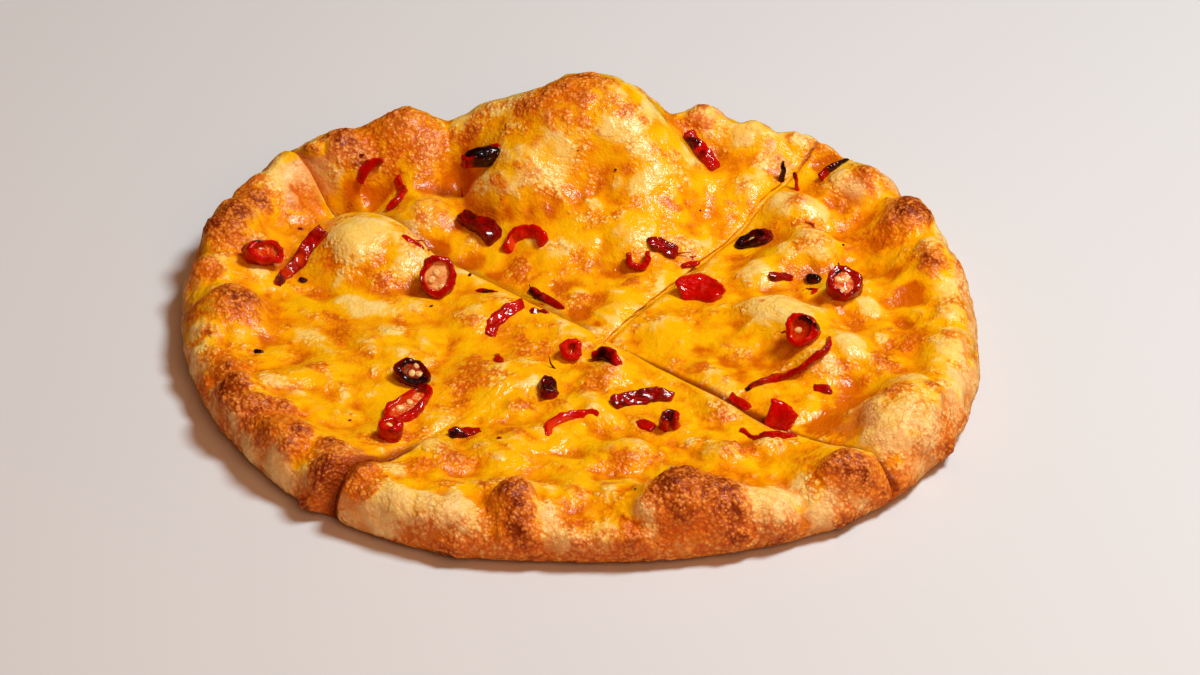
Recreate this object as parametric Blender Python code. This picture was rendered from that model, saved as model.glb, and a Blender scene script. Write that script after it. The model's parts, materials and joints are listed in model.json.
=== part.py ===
# Cheese naan: a leavened flatbread with a blistered raised rim, one big air bubble at its back,
# a melted cheese layer and pieces of red chilli. Two knife cuts part it into four slices, which
# still lie together. Millimetres below, metres in the scene: +X right, +Y back, +Z up, and the
# origin on the underside at the middle of the bread.

import math

import bmesh
import bpy
from mathutils import Matrix, Vector
from mathutils.bvhtree import BVHTree

MM = 0.001

# Outline: radius at every 22.5 degrees, counter-clockwise from +X.
OUTLINE = (110.5, 113, 114.5, 107, 103, 109, 118, 116, 109.5, 104, 102, 100, 97, 101, 108, 111)

# Knife cuts: where they cross, the direction of each of the four arms, and the slices between them.
CROSSING = (6, -3.5)
CUTS = (53.5, 139.2, 225.5, 319.2)
KERF = 0.4
ROLL_DEPTHS = (1.3, 1.4, 0.5, 0.9)
ROLL_WIDTH = 4.5
SLICES = ("back", "left", "front", "right")
# How far each slice stands above the common surface, at its first and at its second cut.
EDGE_LIFT = {"back": (1.2, -1.6), "left": (2.2, 0.2), "front": (0.0, 1.0), "right": (-1.8, -1.0)}
EDGE_LIFT_REACH = 16.0

# Dough: height of the floor inside the rim, of the rim's crest and of the widest line of its wall.
FLOOR_HEIGHT = 9.5
CREST_HEIGHT = 12.5
EQUATOR_HEIGHT = 5.2
WALL_WIDTH = 9.5
CREST_WIDTH = 15.0
RIM_WIDTH = 31.0
FOOT = ((1.0, 2.2), (4.5, 0.0))  # inset and height of the rings below the widest line

# Puffs and blisters: x, y, half width, half depth, turn in degrees, height of the top.
BUBBLE = (
    (4, 78, 28, 25, 0, 40.5),
    (-18, 80, 20, 18, 0, 31.5),
    (-14, 64, 20, 18, 20, 29),
    (20, 66, 19, 20, -20, 28),
    (6, 50, 30, 20, 0, 19),
)
BACK_RIM = (
    (-49, 80, 17, 17, 20, 29),
    (-69, 77, 14, 15, 30, 25),
    (-81, 73, 12, 12, 40, 22),
    (-30, 82, 12, 13, 0, 26),
    (35, 87, 11, 12, 0, 28),
    (48, 82, 11, 11, -20, 25),
    (64, 77, 16, 12, -40, 22),
    (79, 66, 14, 12, -40, 21),
)
LEFT_RIM = (
    (-90, 61, 12, 14, 35, 20),
    (-98, 44, 12, 15, 20, 21),
    (-102, 26, 9, 12, 0, 17),
    (-96, 5, 12, 14, 0, 18),
    (-100, -17, 10, 9, 0, 15),
    (-92, -36, 11, 13, -10, 18),
    (-81, -57, 12, 12, -35, 18),
)
FRONT_RIM = (
    (-65, -71, 11, 12, -40, 18),
    (-50, -80, 10, 9, -30, 16),
    (-33, -86, 13, 10, -15, 15),
    (-17, -83, 8, 12, 10, 18),
    (-1, -77, 10, 11, 0, 14),
    (12, -80, 9, 10, 0, 15),
    (29, -84, 16, 13, 0, 21),
    (50, -82, 10, 9, 20, 14),
    (71, -73, 15, 12, 35, 19),
)
RIGHT_RIM = (
    (88, -47, 16, 22, -15, 22),
    (101, -20, 11, 18, -8, 17),
    (103, 3, 9, 14, 0, 16),
    (99, 27, 12, 14, 10, 20),
    (93, 47, 12, 12, 25, 21),
)
INSIDE = (
    (-60, 37, 18, 17, -20, 19),
    (-45, 56, 14, 12, 20, 17),
    (-48, 31, 9, 9, 0, 13),
    (57, 3, 17, 11, -35, 16),
    (68, -12, 15, 12, -40, 16),
    (61, 55, 11, 9, 0, 18),
    (63, 36, 11, 9, 0, 17),
    (51, 27, 8, 8, 0, 13),
    (17, 43, 13, 10, 10, 16),
    (-26, 48, 10, 10, 0, 13),
    (-28, 8, 11, 8, 0, 12),
    (-20, -24, 13, 12, 20, 13),
    (2, -36, 12, 9, 0, 12),
    (8, -20, 9, 8, 0, 12),
    (-52, -12, 14, 10, 0, 12),
    (-70, -24, 11, 9, 0, 12),
    (-40, -60, 11, 8, 0, 14),
    (-20, -58, 11, 9, 0, 13),
    (12, -58, 12, 8, 0, 13),
    (38, -62, 9, 7, 0, 13),
    (52, -56, 9, 7, 0, 13),
    (76, 14, 10, 10, 0, 14),
    (43, 67, 22, 16, -10, 17),
)
# Hollows, as x, y, half width, half depth, turn and depth: a fold under the rim where the cut
# ends, a torn blister, and dips between the puffs.
HOLLOWS = (
    (-71, 60, 11, 7, -38, 5),
    (66, 71, 11, 8, -30, 4),
    (56, -79, 7, 12, 25, 3),
    (4, -88, 6, 9, 0, 2),
    (-26, -84, 5, 10, 0, 2),
    (-96, -26, 8, 5, 0, 2),
    (-88, -48, 7, 4, 30, 2),
    (-73, -66, 6, 5, 40, 2),
    (84, -68, 5, 9, 40, 3),
)
PUFFS = BUBBLE + BACK_RIM + LEFT_RIM + FRONT_RIM + RIGHT_RIM + INSIDE
DOME_POWER = 0.78
BLEND_POWER = 3.0

# Cheese: how far its edge keeps from the outline at every 22.5 degrees, and its thickness.
CHEESE_MARGIN = (25, 26, 24, 20, 17, 19, 21, 23, 23, 25, 27, 25, 24, 27, 30, 30)
CHEESE_WAVES = ((5, 2.0, 0.4), (11, 1.6, 1.9), (17, 1.0, 3.1))  # waves round, height, phase
CHEESE_THICKNESS = 1.7
CHEESE_EDGE = 0.7
GAP = 0.3

# Chilli: rings and half rings, as the middle, the two radii, the height of the band, the turn, the
# tilt of its axis and the direction that it tilts to, and the angles between which the wall runs.
CHILLI_WALL = 1.5
RING_SIDES = 14
RINGS = {
    "chilli_ring_seeded": ((-39.3, 21.0), (5.0, 5.6), 3.4, 10, 46, -80, (0, 360)),
    "chilli_fold_black": ((-26.2, 64.5), (6.2, 3.0), 3.8, 20, 8, -90, (0, 360)),
    "chilli_fold_rim": ((-88.6, 30.5), (5.6, 3.6), 4.2, 18, 32, -70, (0, 360)),
    "chilli_pentagon": ((-2.2, -11.0), (3.0, 3.4), 3.0, 0, 36, -90, (0, 360)),
    "chilli_standing": ((24.5, -45.0), (2.9, 2.2), 5.4, 15, 14, -90, (-60, 250)),
    "chilli_ring_black": ((-45.0, -22.6), (4.7, 4.3), 3.0, 0, 14, -90, (0, 360)),
    "chilli_loop": ((-45.6, -36.4), (9.2, 3.8), 2.6, 56, 6, -90, (0, 360)),
    "chilli_plug": ((-50.0, -50.6), (3.0, 2.9), 5.0, 0, 10, -90, (0, 360)),
    "chilli_pod": ((49.4, 44.2), (5.6, 2.1), 2.4, 6, 14, -90, (0, 360)),
    "chilli_bead": ((65.0, 24.6), (1.9, 1.7), 2.6, 0, 20, -90, (0, 360)),
    "chilli_ring_right": ((73.2, 14.2), (5.0, 4.5), 4.0, 20, 30, -80, (0, 360)),
    "chilli_ring_tail": ((60.8, -9.8), (4.5, 4.6), 3.4, 0, 42, -85, (0, 360)),
    "chilli_half_ring": ((16.4, 31.2), (3.6, 3.4), 3.0, 0, 30, -90, (165, 385)),
}
# Strips, as the path seen from above, their width, thickness, and lean at both ends: 0 lies flat
# and 90 stands on its edge. The last pair is the share of the width that is left at both ends.
STRIPS = {
    "chilli_strip_rim": (
        ((-82.9, 21), (-80.2, 28), (-76.2, 34), (-71.8, 39)),
        3.8, 1.4, (20, 40), (0.4, 1.0),
    ),
    "chilli_arc_sunk": (((-55.6, 69), (-59.2, 68.4), (-62, 66)), 2.8, 1.3, (20, 50), (0.8, 0.6)),
    "chilli_arc_far": (
        ((-51.2, 66), (-49.6, 61.6), (-50.6, 57.8), (-54.2, 55.6)),
        2.4, 1.2, (40, 30), (0.6, 0.8),
    ),
    "chilli_roll": (((-32.6, 51.6), (-28.6, 47), (-23.8, 42.2)), 4.6, 3.4, (20, 10), (0.8, 1.0)),
    "chilli_saddle": (
        ((-19.8, 38.2), (-18.4, 41), (-14.6, 41.8), (-10.8, 39.8), (-10.2, 36.6)),
        3.4, 1.3, (55, 50), (0.8, 0.9),
    ),
    "chilli_bent": (
        ((-24, -2), (-23, 2.5), (-20.3, 6.2), (-17, 8.7), (-15.4, 10.0)),
        3.5, 1.3, (10, 30), (0.8, 0.9),
    ),
    "chilli_chip_middle": (((-13.4, 7.0), (-11, 7.4), (-8.4, 6.2)), 2.2, 1.2, (20, 10), (0.9, 0.7)),
    "chilli_dark_seam": (
        ((-13.6, 21.6), (-10.5, 18.8), (-7.4, 16.0), (-4.8, 12.8)),
        2.6, 1.4, (40, 30), (0.5, 0.8),
    ),
    "chilli_charred": (
        ((3.6, -16), (6, -15.4), (8.8, -17), (11.2, -19.4)),
        3.2, 1.8, (35, 20), (0.7, 0.6),
    ),
    "chilli_curled": (((-7.4, -33), (-8.2, -30), (-7.8, -26.6)), 4.2, 3.2, (20, 30), (0.8, 0.6)),
    "chilli_chip_left": (
        ((-22.2, -13.5), (-21.8, -16.4), (-21.2, -19.2)),
        2.2, 1.2, (20, 20), (0.7, 0.8),
    ),
    "chilli_lobed": (
        ((9, -36.4), (13, -34), (16.6, -32.6), (20.6, -31.4), (25, -32.2)),
        4.0, 2.0, (15, 35), (0.7, 0.6),
    ),
    "chilli_foot": (((15.6, -43.4), (18, -45.2), (20, -46.6)), 3.0, 1.3, (20, 10), (0.6, 0.9)),
    "chilli_curl_thin": (
        ((-8.6, -51), (-8.4, -47), (-6, -43.4), (-2.3, -41.6), (1.7, -40.8), (5.5, -41.6)),
        2.3, 1.2, (40, 50), (0.6, 0.7),
    ),
    "chilli_dark_front": (
        ((-34.5, -49.6), (-31.6, -48.6), (-28.9, -48), (-26.4, -46.8)),
        3.0, 1.6, (25, 10), (0.8, 0.5),
    ),
    "chilli_crumple": (((19.8, 34.8), (23, 36), (26.8, 35.2)), 4.6, 2.2, (30, 30), (0.8, 0.8)),
    "chilli_chip_edge": (((28.6, 31.4), (31, 32.2), (33.2, 33.4)), 2.0, 1.1, (10, 10), (0.7, 0.7)),
    "chilli_strip_bubble": (
        ((30.8, 78.4), (33.4, 75), (36, 72.4), (38.6, 69.8)),
        3.6, 1.4, (10, 0), (0.9, 1.0),
    ),
    "chilli_wedge": (
        ((27.8, 18.2), (31.4, 20), (35.2, 19), (38.4, 15.6)),
        7.0, 1.4, (32, 40), (0.8, 0.7),
    ),
    "chilli_chip_ridge": (((52.8, 23.2), (56, 24.6), (59.2, 25.2)), 2.6, 1.4, (20, 20), (0.7, 0.7)),
    "chilli_chip_red": (((62.4, 20.4), (64.2, 19), (65.4, 16.8)), 2.4, 1.4, (10, 20), (0.8, 0.7)),
    "chilli_tail": (
        (
            (67.6, -12.4), (67, -16.6), (64.4, -20.2), (60.2, -21.6),
            (55.6, -21.6), (50.8, -23.4), (45.4, -26.4),
        ),
        3.2, 1.2, (60, 15), (0.6, 0.5),
    ),
    "chilli_flap": (((51.4, -39.6), (54.2, -40.6), (57.2, -43)), 6.4, 1.4, (58, 66), (0.9, 0.7)),
    "chilli_arc_front": (
        ((43.6, -47.6), (47.6, -52), (52.8, -53.6), (57.6, -51.8)),
        1.8, 1.1, (60, 50), (0.7, 0.6),
    ),
    "chilli_chip_cut": (((41.3, -29.1), (43.7, -31.5), (45.8, -34.2)), 2.6, 1.3, (30, 20), (0.9, 0.9)),
    "chilli_chip_dome": (((63.4, -27.4), (65.9, -27.8), (68.2, -29.2)), 2.8, 1.4, (20, 10), (0.8, 0.6)),
    "chilli_sliver_black": (((57.2, 67.0), (58.4, 67.3)), 7.0, 0.9, (88, 84), (1.0, 0.6)),
    "chilli_sliver_red": (((60.8, 65.2), (61.8, 65.6)), 6.4, 0.9, (84, 88), (0.9, 0.8)),
    "chilli_strip_torn": (
        ((67.8, 66.2), (70.5, 68.4), (73.6, 71), (76.2, 73.4)),
        2.6, 1.1, (60, 70), (1.0, 0.4),
    ),
    "chilli_arc_left": (((-29.2, 18.4), (-26, 16.4), (-22.8, 16.2)), 1.6, 1.0, (40, 40), (0.5, 0.6)),
    "chilli_frill": (((-48.8, 35), (-46.2, 33.4), (-43.2, 33)), 2.2, 1.1, (20, 20), (0.7, 0.7)),
}
STRIP_STEP = 2.0
CURVE_PARTS = 20  # points on each stretch of a strip's path before it is spaced evenly
FEELERS = 6  # places around a point where the support is felt, and how far off they lie
FEELER_REACH = 0.8
ABOVE_ALL = 100.0
DARK = (
    "chilli_fold_black",
    "chilli_ring_black",
    "chilli_charred",
    "chilli_sliver_black",
    "chilli_bead",
    "chilli_pod",
)

# Facets: their usual side, the narrow row beside each cut, and the rings of the bare rim.
FACET = 4.7
CUT_ROW = 2.4
CHEESE_RINGS = 17
RIM_RINGS = 5
RIM_SPACING = 1.6
LEAST_SPACES = 4.0  # a short ring next to the tip is still split into so many rows
HALVINGS = 40  # halvings of the search for the outline along a ray

COLOURS = {
    "crust": ((0.62, 0.33, 0.10, 1), 0.55),
    "cheese": ((0.85, 0.47, 0.07, 1), 0.32),
    "chilli": ((0.45, 0.02, 0.01, 1), 0.25),
    "char": ((0.03, 0.01, 0.01, 1), 0.35),
}


def clear_scene():
    for item in list(bpy.data.objects):
        bpy.data.objects.remove(item, do_unlink=True)


def make_material(name):
    colour, roughness = COLOURS[name]
    material = bpy.data.materials.new(name)
    material.use_nodes = True
    shader = material.node_tree.nodes["Principled BSDF"]
    shader.inputs["Base Color"].default_value = colour
    shader.inputs["Roughness"].default_value = roughness
    shader.inputs["Metallic"].default_value = 0.0
    material.diffuse_color = colour
    return material


def make_solid(name, points, faces, material):
    mesh = bpy.data.meshes.new(name)
    mesh.from_pydata([Vector(point) * MM for point in points], [], faces)
    shape = bmesh.new()
    shape.from_mesh(mesh)
    bmesh.ops.recalc_face_normals(shape, faces=shape.faces)
    shape.to_mesh(mesh)
    shape.free()
    mesh.materials.append(material)
    mesh.shade_smooth()
    mesh.set_sharp_from_angle(angle=math.radians(50))
    solid = bpy.data.objects.new(name, mesh)
    bpy.context.scene.collection.objects.link(solid)
    return solid


def smooth_step(value):
    value = min(max(value, 0.0), 1.0)
    return value * value * (3.0 - 2.0 * value)


def smooth_between(a, b, c, d, t):
    """A smooth curve through four values in a row, read between the second and the third."""
    square = 2 * a - 5 * b + 4 * c - d
    cube = 3 * b - a - 3 * c + d
    return 0.5 * (2 * b + (c - a) * t + square * t**2 + cube * t**3)


def around(values, degrees):
    """Reads a ring of evenly spaced values at an angle, on a smooth curve through them."""
    place = (degrees % 360.0) * len(values) / 360.0
    index = int(place)
    stops = (values[(index + k) % len(values)] for k in (-1, 0, 1, 2))
    return smooth_between(*stops, place - index)


def outline_inset(x, y):
    """How far a point lies inside the outline."""
    return around(OUTLINE, math.degrees(math.atan2(y, x))) - math.hypot(x, y)


def plain_height(inset):
    """Height of the dough with no puffs: a floor that rises to the rim's crest."""
    ramp = 1.0 - smooth_step((inset - CREST_WIDTH) / (RIM_WIDTH - CREST_WIDTH))
    return FLOOR_HEIGHT + (CREST_HEIGHT - FLOOR_HEIGHT) * ramp


def dome(x, y, px, py, half_width, half_depth, turn):
    """One at the middle of an ellipse, falling to nothing at its edge."""
    c, s = math.cos(math.radians(turn)), math.sin(math.radians(turn))
    across = ((x - px) * c + (y - py) * s) / half_width
    along = ((y - py) * c - (x - px) * s) / half_depth
    return max(0.0, 1.0 - across**2 - along**2)


def puff_rise(x, y):
    total = 0.0
    for px, py, half_width, half_depth, turn, top in PUFFS:
        inside = dome(x, y, px, py, half_width, half_depth, turn)
        if inside > 0.0:
            rise = (top - plain_height(outline_inset(px, py))) * inside**DOME_POWER
            total += rise**BLEND_POWER
    dip = sum(hollow[5] * smooth_step(dome(x, y, *hollow[:5])) for hollow in HOLLOWS)
    return total ** (1.0 / BLEND_POWER) - dip


def cut_distances(x, y, first_cut, second_cut):
    """Distances of a point from the two cuts that bound its slice."""
    away = []
    for cut in (first_cut, second_cut):
        angle = math.radians(cut)
        away.append(abs((x - CROSSING[0]) * math.sin(angle) - (y - CROSSING[1]) * math.cos(angle)))
    return away


def surface_height(x, y, slice_name):
    """Height of the upper surface of a slice, with its cheese."""
    inset = outline_inset(x, y)
    height = plain_height(inset) + puff_rise(x, y)
    first = SLICES.index(slice_name)
    distances = cut_distances(x, y, CUTS[first], CUTS[(first + 1) % len(CUTS)])
    rolls = (ROLL_DEPTHS[first], ROLL_DEPTHS[(first + 1) % len(CUTS)])
    for distance, lift, roll in zip(distances, EDGE_LIFT[slice_name], rolls):
        height += lift * (1.0 - smooth_step(distance / EDGE_LIFT_REACH))
        height -= roll * (1.0 - smooth_step(distance / ROLL_WIDTH))
    if inset < WALL_WIDTH:
        wall = math.sqrt(max(0.0, 1.0 - (1.0 - max(inset, 0.0) / WALL_WIDTH) ** 2))
        height = EQUATOR_HEIGHT + (height - EQUATOR_HEIGHT) * wall
    return height


def reach(tip, degrees, margin):
    """Distance from a slice's tip to the line that lies a margin inside the outline."""
    c, s = math.cos(math.radians(degrees)), math.sin(math.radians(degrees))
    near, far = 0.0, 2.0 * max(OUTLINE)
    for _ in range(HALVINGS):
        middle = 0.5 * (near + far)
        inside = outline_inset(tip[0] + middle * c, tip[1] + middle * s) > margin
        near, far = (middle, far) if inside else (near, middle)
    return near


def cheese_margin(degrees):
    waves = sum(h * math.sin(n * math.radians(degrees) + phase) for n, h, phase in CHEESE_WAVES)
    return around(CHEESE_MARGIN, degrees) + waves


class SliceGrid:
    """The points of a slice seen from above: a tip, then rings out to the outline."""

    def __init__(self, name):
        self.name = name
        index = SLICES.index(name)
        self.start = CUTS[index]
        self.sweep = (CUTS[(index + 1) % len(CUTS)] - self.start) % 360.0
        first, second = math.radians(self.start), math.radians(self.start + self.sweep)
        away = 0.5 * KERF / math.sin(second - first)
        self.tip = (
            CROSSING[0] + away * (math.cos(first) + math.cos(second)),
            CROSSING[1] + away * (math.sin(first) + math.sin(second)),
        )
        self.rings = [[self.tip]]
        for ring in range(1, CHEESE_RINGS + 1):
            self.rings.append(self.ring_points(ring / CHEESE_RINGS, None))
        for ring in range(1, RIM_RINGS + 1):
            self.rings.append(self.ring_points(None, (1.0 - ring / RIM_RINGS) ** RIM_SPACING))

    def point(self, degrees, share, margin_share, inset=0.0):
        """A point at a share of the cheese's reach, or at a share of its margin from the outline."""
        margin = cheese_margin(degrees)
        if share is not None:
            distance = reach(self.tip, degrees, margin) * share
        else:
            distance = reach(self.tip, degrees, margin * margin_share + inset)
        angle = math.radians(degrees)
        return (self.tip[0] + distance * math.cos(angle), self.tip[1] + distance * math.sin(angle))

    def ring_points(self, share, margin_share, inset=0.0):
        middle = self.point(self.start + self.sweep / 2.0, share, margin_share, inset)
        radius = math.dist(middle, self.tip)
        length = radius * math.radians(self.sweep)
        row = min(CUT_ROW, length / LEAST_SPACES)
        spaces = max(1, round((length - 2.0 * row) / FACET))
        stops = [0.0] + [row + (length - 2.0 * row) * k / spaces for k in range(spaces + 1)] + [length]
        return [
            self.point(self.start + self.sweep * stop / length, share, margin_share, inset)
            for stop in stops
        ]


def bridge(inner, outer):
    """Triangles between two open rows of point numbers, whose ends lie beside each other."""
    faces = []
    i = j = 0
    while i < len(inner) - 1 or j < len(outer) - 1:
        step_outer = (j + 1) / max(len(outer) - 1, 1) <= (i + 1) / max(len(inner) - 1, 1)
        if i == len(inner) - 1 or (j < len(outer) - 1 and step_outer):
            faces.append((inner[i], outer[j], outer[j + 1]))
            j += 1
        else:
            faces.append((inner[i], outer[j], inner[i + 1]))
            i += 1
    return faces


def number_rings(rings, start=0):
    numbered = []
    for ring in rings:
        numbered.append(list(range(start, start + len(ring))))
        start += len(ring)
    return numbered


def rings_to_faces(numbered):
    return [face for inner, outer in zip(numbered, numbered[1:]) for face in bridge(inner, outer)]


def cheese_cover(ring):
    """How much cheese and gap lies over the bread at a ring."""
    if ring > CHEESE_RINGS:
        return 0.0
    thin = smooth_step((CHEESE_RINGS - ring) / 2.0)
    return GAP + CHEESE_EDGE + (CHEESE_THICKNESS - CHEESE_EDGE) * thin


def make_bread(grid, material):
    name = grid.name
    foot_rings = [grid.ring_points(None, 0.0, inset) for inset, _ in FOOT]
    points = []
    for index, ring in enumerate(grid.rings):
        cover = cheese_cover(index)
        points += [(x, y, surface_height(x, y, name) - cover) for x, y in ring]
    for ring, (_, height) in zip(foot_rings, FOOT):
        points += [(x, y, height) for x, y in ring]
    numbered = number_rings(grid.rings + foot_rings)
    faces = rings_to_faces(numbered)
    # The two cut faces go straight down from the ends of the rings to the underside.
    sole = len(points)
    standing = grid.rings[:-1]
    points += [(grid.tip[0], grid.tip[1], 0.0)]
    ends = {0: [0], -1: [0]}
    below = {0: [sole], -1: [sole]}
    for end in (0, -1):
        for index in range(1, len(standing)):
            x, y = standing[index][end]
            ends[end].append(numbered[index][end])
            below[end].append(len(points))
            points.append((x, y, 0.0))
        for index in range(len(standing) - 1):
            faces.append((ends[end][index], ends[end][index + 1], below[end][index + 1], below[end][index]))
        equator = numbered[len(standing)][end]
        rings_below = [ring[end] for ring in numbered[len(standing) + 1 :]]
        faces.append((ends[end][-1], equator, *rings_below, below[end][-1]))
    faces.append((*below[0], *numbered[-1], *reversed(below[-1][1:])))
    return make_solid(f"bread_{name}", points, faces, material)


def make_cheese(grid, material):
    name = grid.name
    rings = grid.rings[: CHEESE_RINGS + 1]
    upper = []
    lower = []
    for index, ring in enumerate(rings):
        thickness = cheese_cover(index) - GAP
        for x, y in ring:
            height = surface_height(x, y, name)
            upper.append((x, y, height))
            lower.append((x, y, height - thickness))
    top = number_rings(rings)
    bottom = number_rings(rings, len(upper))
    faces = rings_to_faces(top) + rings_to_faces(bottom)
    for above, under in zip(top[-1], bottom[-1]):
        if above != top[-1][-1]:
            faces.append((above, above + 1, under + 1, under))
    for end in (0, -1):
        for index in range(len(rings) - 1):
            faces.append((top[index][end], top[index + 1][end], bottom[index + 1][end], bottom[index][end]))
    return make_solid(f"cheese_{name}", upper + lower, faces, material)


class Support:
    """The height of what a piece of chilli lies on."""

    def __init__(self, solids):
        points = []
        faces = []
        for solid in solids:
            start = len(points)
            points += [vertex.co / MM for vertex in solid.data.vertices]
            faces += [[start + index for index in face.vertices] for face in solid.data.polygons]
        self.tree = BVHTree.FromPolygons(points, faces)

    def height(self, x, y):
        """The highest support under a point and close around it."""
        highest = 0.0
        for feeler in range(FEELERS + 1):
            angle = math.tau * feeler / FEELERS
            away = FEELER_REACH if feeler < FEELERS else 0.0
            above = (x + away * math.cos(angle), y + away * math.sin(angle), ABOVE_ALL)
            hit = self.tree.ray_cast(above, (0, 0, -1))[0]
            if hit:
                highest = max(highest, hit.z)
        return highest

    def slope(self, x, y, reach_out):
        """The turn that brings +Z to the support's mean normal around a point."""
        across = self.height(x + reach_out, y) - self.height(x - reach_out, y)
        along = self.height(x, y + reach_out) - self.height(x, y - reach_out)
        normal = Vector((-across, -along, 2.0 * reach_out)).normalized()
        return Vector((0, 0, 1)).rotation_difference(normal).to_matrix()

    def lift(self, points):
        """How far points have to rise to clear the support."""
        return max(self.height(x, y) - z for x, y, z in points) + GAP


def sweep_faces(count, sides, closed):
    """Faces of a swept section: count stations with the same number of corners."""
    faces = []
    for station in range(count if closed else count - 1):
        here = station * sides
        there = (station + 1) % count * sides
        for corner in range(sides):
            after = (corner + 1) % sides
            faces.append((here + corner, here + after, there + after, there + corner))
    if not closed:
        faces.append(tuple(range(sides)))
        faces.append(tuple(range((count - 1) * sides, count * sides)))
    return faces


def make_ring(name, support, material):
    middle, radii, band, turn, tilt, towards, (first, last) = RINGS[name]
    closed = last - first >= 360
    count = RING_SIDES if closed else max(5, round(RING_SIDES * (last - first) / 360.0))
    direction = math.radians(towards)
    axis = Vector((-math.sin(direction), math.cos(direction), 0.0))
    turned = Matrix.Rotation(math.radians(tilt), 3, axis) @ Matrix.Rotation(math.radians(turn), 3, "Z")
    turned = support.slope(*middle, max(radii)) @ turned
    points = []
    for station in range(count):
        angle = math.radians(first + (last - first) * station / (count if closed else count - 1))
        for inset, height in ((0, 0), (CHILLI_WALL, 0), (CHILLI_WALL, band), (0, band)):
            x = (radii[0] - inset) * math.cos(angle)
            y = (radii[1] - inset) * math.sin(angle)
            points.append(turned @ Vector((x, y, height)) + Vector((*middle, 0.0)))
    rise = support.lift(points)
    points = [(x, y, z + rise) for x, y, z in points]
    return make_solid(name, points, sweep_faces(count, 4, closed), material)


def smooth_path(stops, step):
    """Evenly spaced points on a smooth curve through the stops."""
    stops = [Vector(stop) for stop in stops]
    stops = [2 * stops[0] - stops[1], *stops, 2 * stops[-1] - stops[-2]]
    fine = []
    for a, b, c, d in zip(stops, stops[1:], stops[2:], stops[3:]):
        fine += [smooth_between(a, b, c, d, part / CURVE_PARTS) for part in range(CURVE_PARTS)]
    fine.append(stops[-2])
    lengths = [0.0]
    for a, b in zip(fine, fine[1:]):
        lengths.append(lengths[-1] + (b - a).length)
    count = max(2, round(lengths[-1] / step))
    path = []
    for station in range(count + 1):
        wanted = lengths[-1] * station / count
        index = min(max(sum(1 for length in lengths if length < wanted), 1), len(fine) - 1)
        span = lengths[index] - lengths[index - 1]
        path.append(fine[index - 1].lerp(fine[index], (wanted - lengths[index - 1]) / span))
    return path


def make_strip(name, support, material):
    stops, width, thickness, leans, ends = STRIPS[name]
    path = smooth_path(stops, STRIP_STEP)
    points = []
    for station, (x, y) in enumerate(path):
        share = station / (len(path) - 1)
        before, after = path[max(station - 1, 0)], path[min(station + 1, len(path) - 1)]
        tangent = (after - before).normalized()
        side = Vector((-tangent.y, tangent.x, 0.0))
        lean = math.radians(leans[0] + (leans[1] - leans[0]) * share)
        along = math.cos(lean) * side + Vector((0, 0, math.sin(lean)))
        through = -math.sin(lean) * side + Vector((0, 0, math.cos(lean)))
        narrow = ends[0] + (ends[1] - ends[0]) * share
        wide = width * (narrow + (1.0 - narrow) * math.sin(math.pi * share))
        section = []
        for half_width, half_through in ((-0.5, -0.5), (0.5, -0.5), (0.5, 0.5), (-0.5, 0.5)):
            offset = half_width * wide * along + half_through * thickness * through
            section.append(Vector((x, y, 0.0)) + offset)
        rise = support.lift(section)
        points += [(px, py, pz + rise) for px, py, pz in section]
    return make_solid(name, points, sweep_faces(len(path), 4, False), material)


def centre_on_origin(solids):
    """Moves everything so that the middle of the whole box stands on the origin."""
    lows = [min(vertex.co[axis] for solid in solids for vertex in solid.data.vertices) for axis in (0, 1)]
    highs = [max(vertex.co[axis] for solid in solids for vertex in solid.data.vertices) for axis in (0, 1)]
    shift = Vector((-(lows[0] + highs[0]) / 2.0, -(lows[1] + highs[1]) / 2.0, 0.0))
    for solid in solids:
        solid.data.transform(Matrix.Translation(shift))


def main():
    clear_scene()
    materials = {name: make_material(name) for name in COLOURS}
    solids = []
    for name in SLICES:
        grid = SliceGrid(name)
        solids.append(make_bread(grid, materials["crust"]))
        solids.append(make_cheese(grid, materials["cheese"]))
    support = Support(solids)
    for name in RINGS:
        solids.append(make_ring(name, support, materials["char" if name in DARK else "chilli"]))
    for name in STRIPS:
        solids.append(make_strip(name, support, materials["char" if name in DARK else "chilli"]))
    centre_on_origin(solids)


main()
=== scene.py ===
# Cheese naan: the looks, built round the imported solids.
# Lengths in the dictionaries are millimetres, places read off the photograph are its pixels.

import json
import math
import bmesh
import bpy
import numpy as np
from mathutils import Matrix, Vector, noise
from mathutils.bvhtree import BVHTree
from mathutils.kdtree import KDTree

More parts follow.
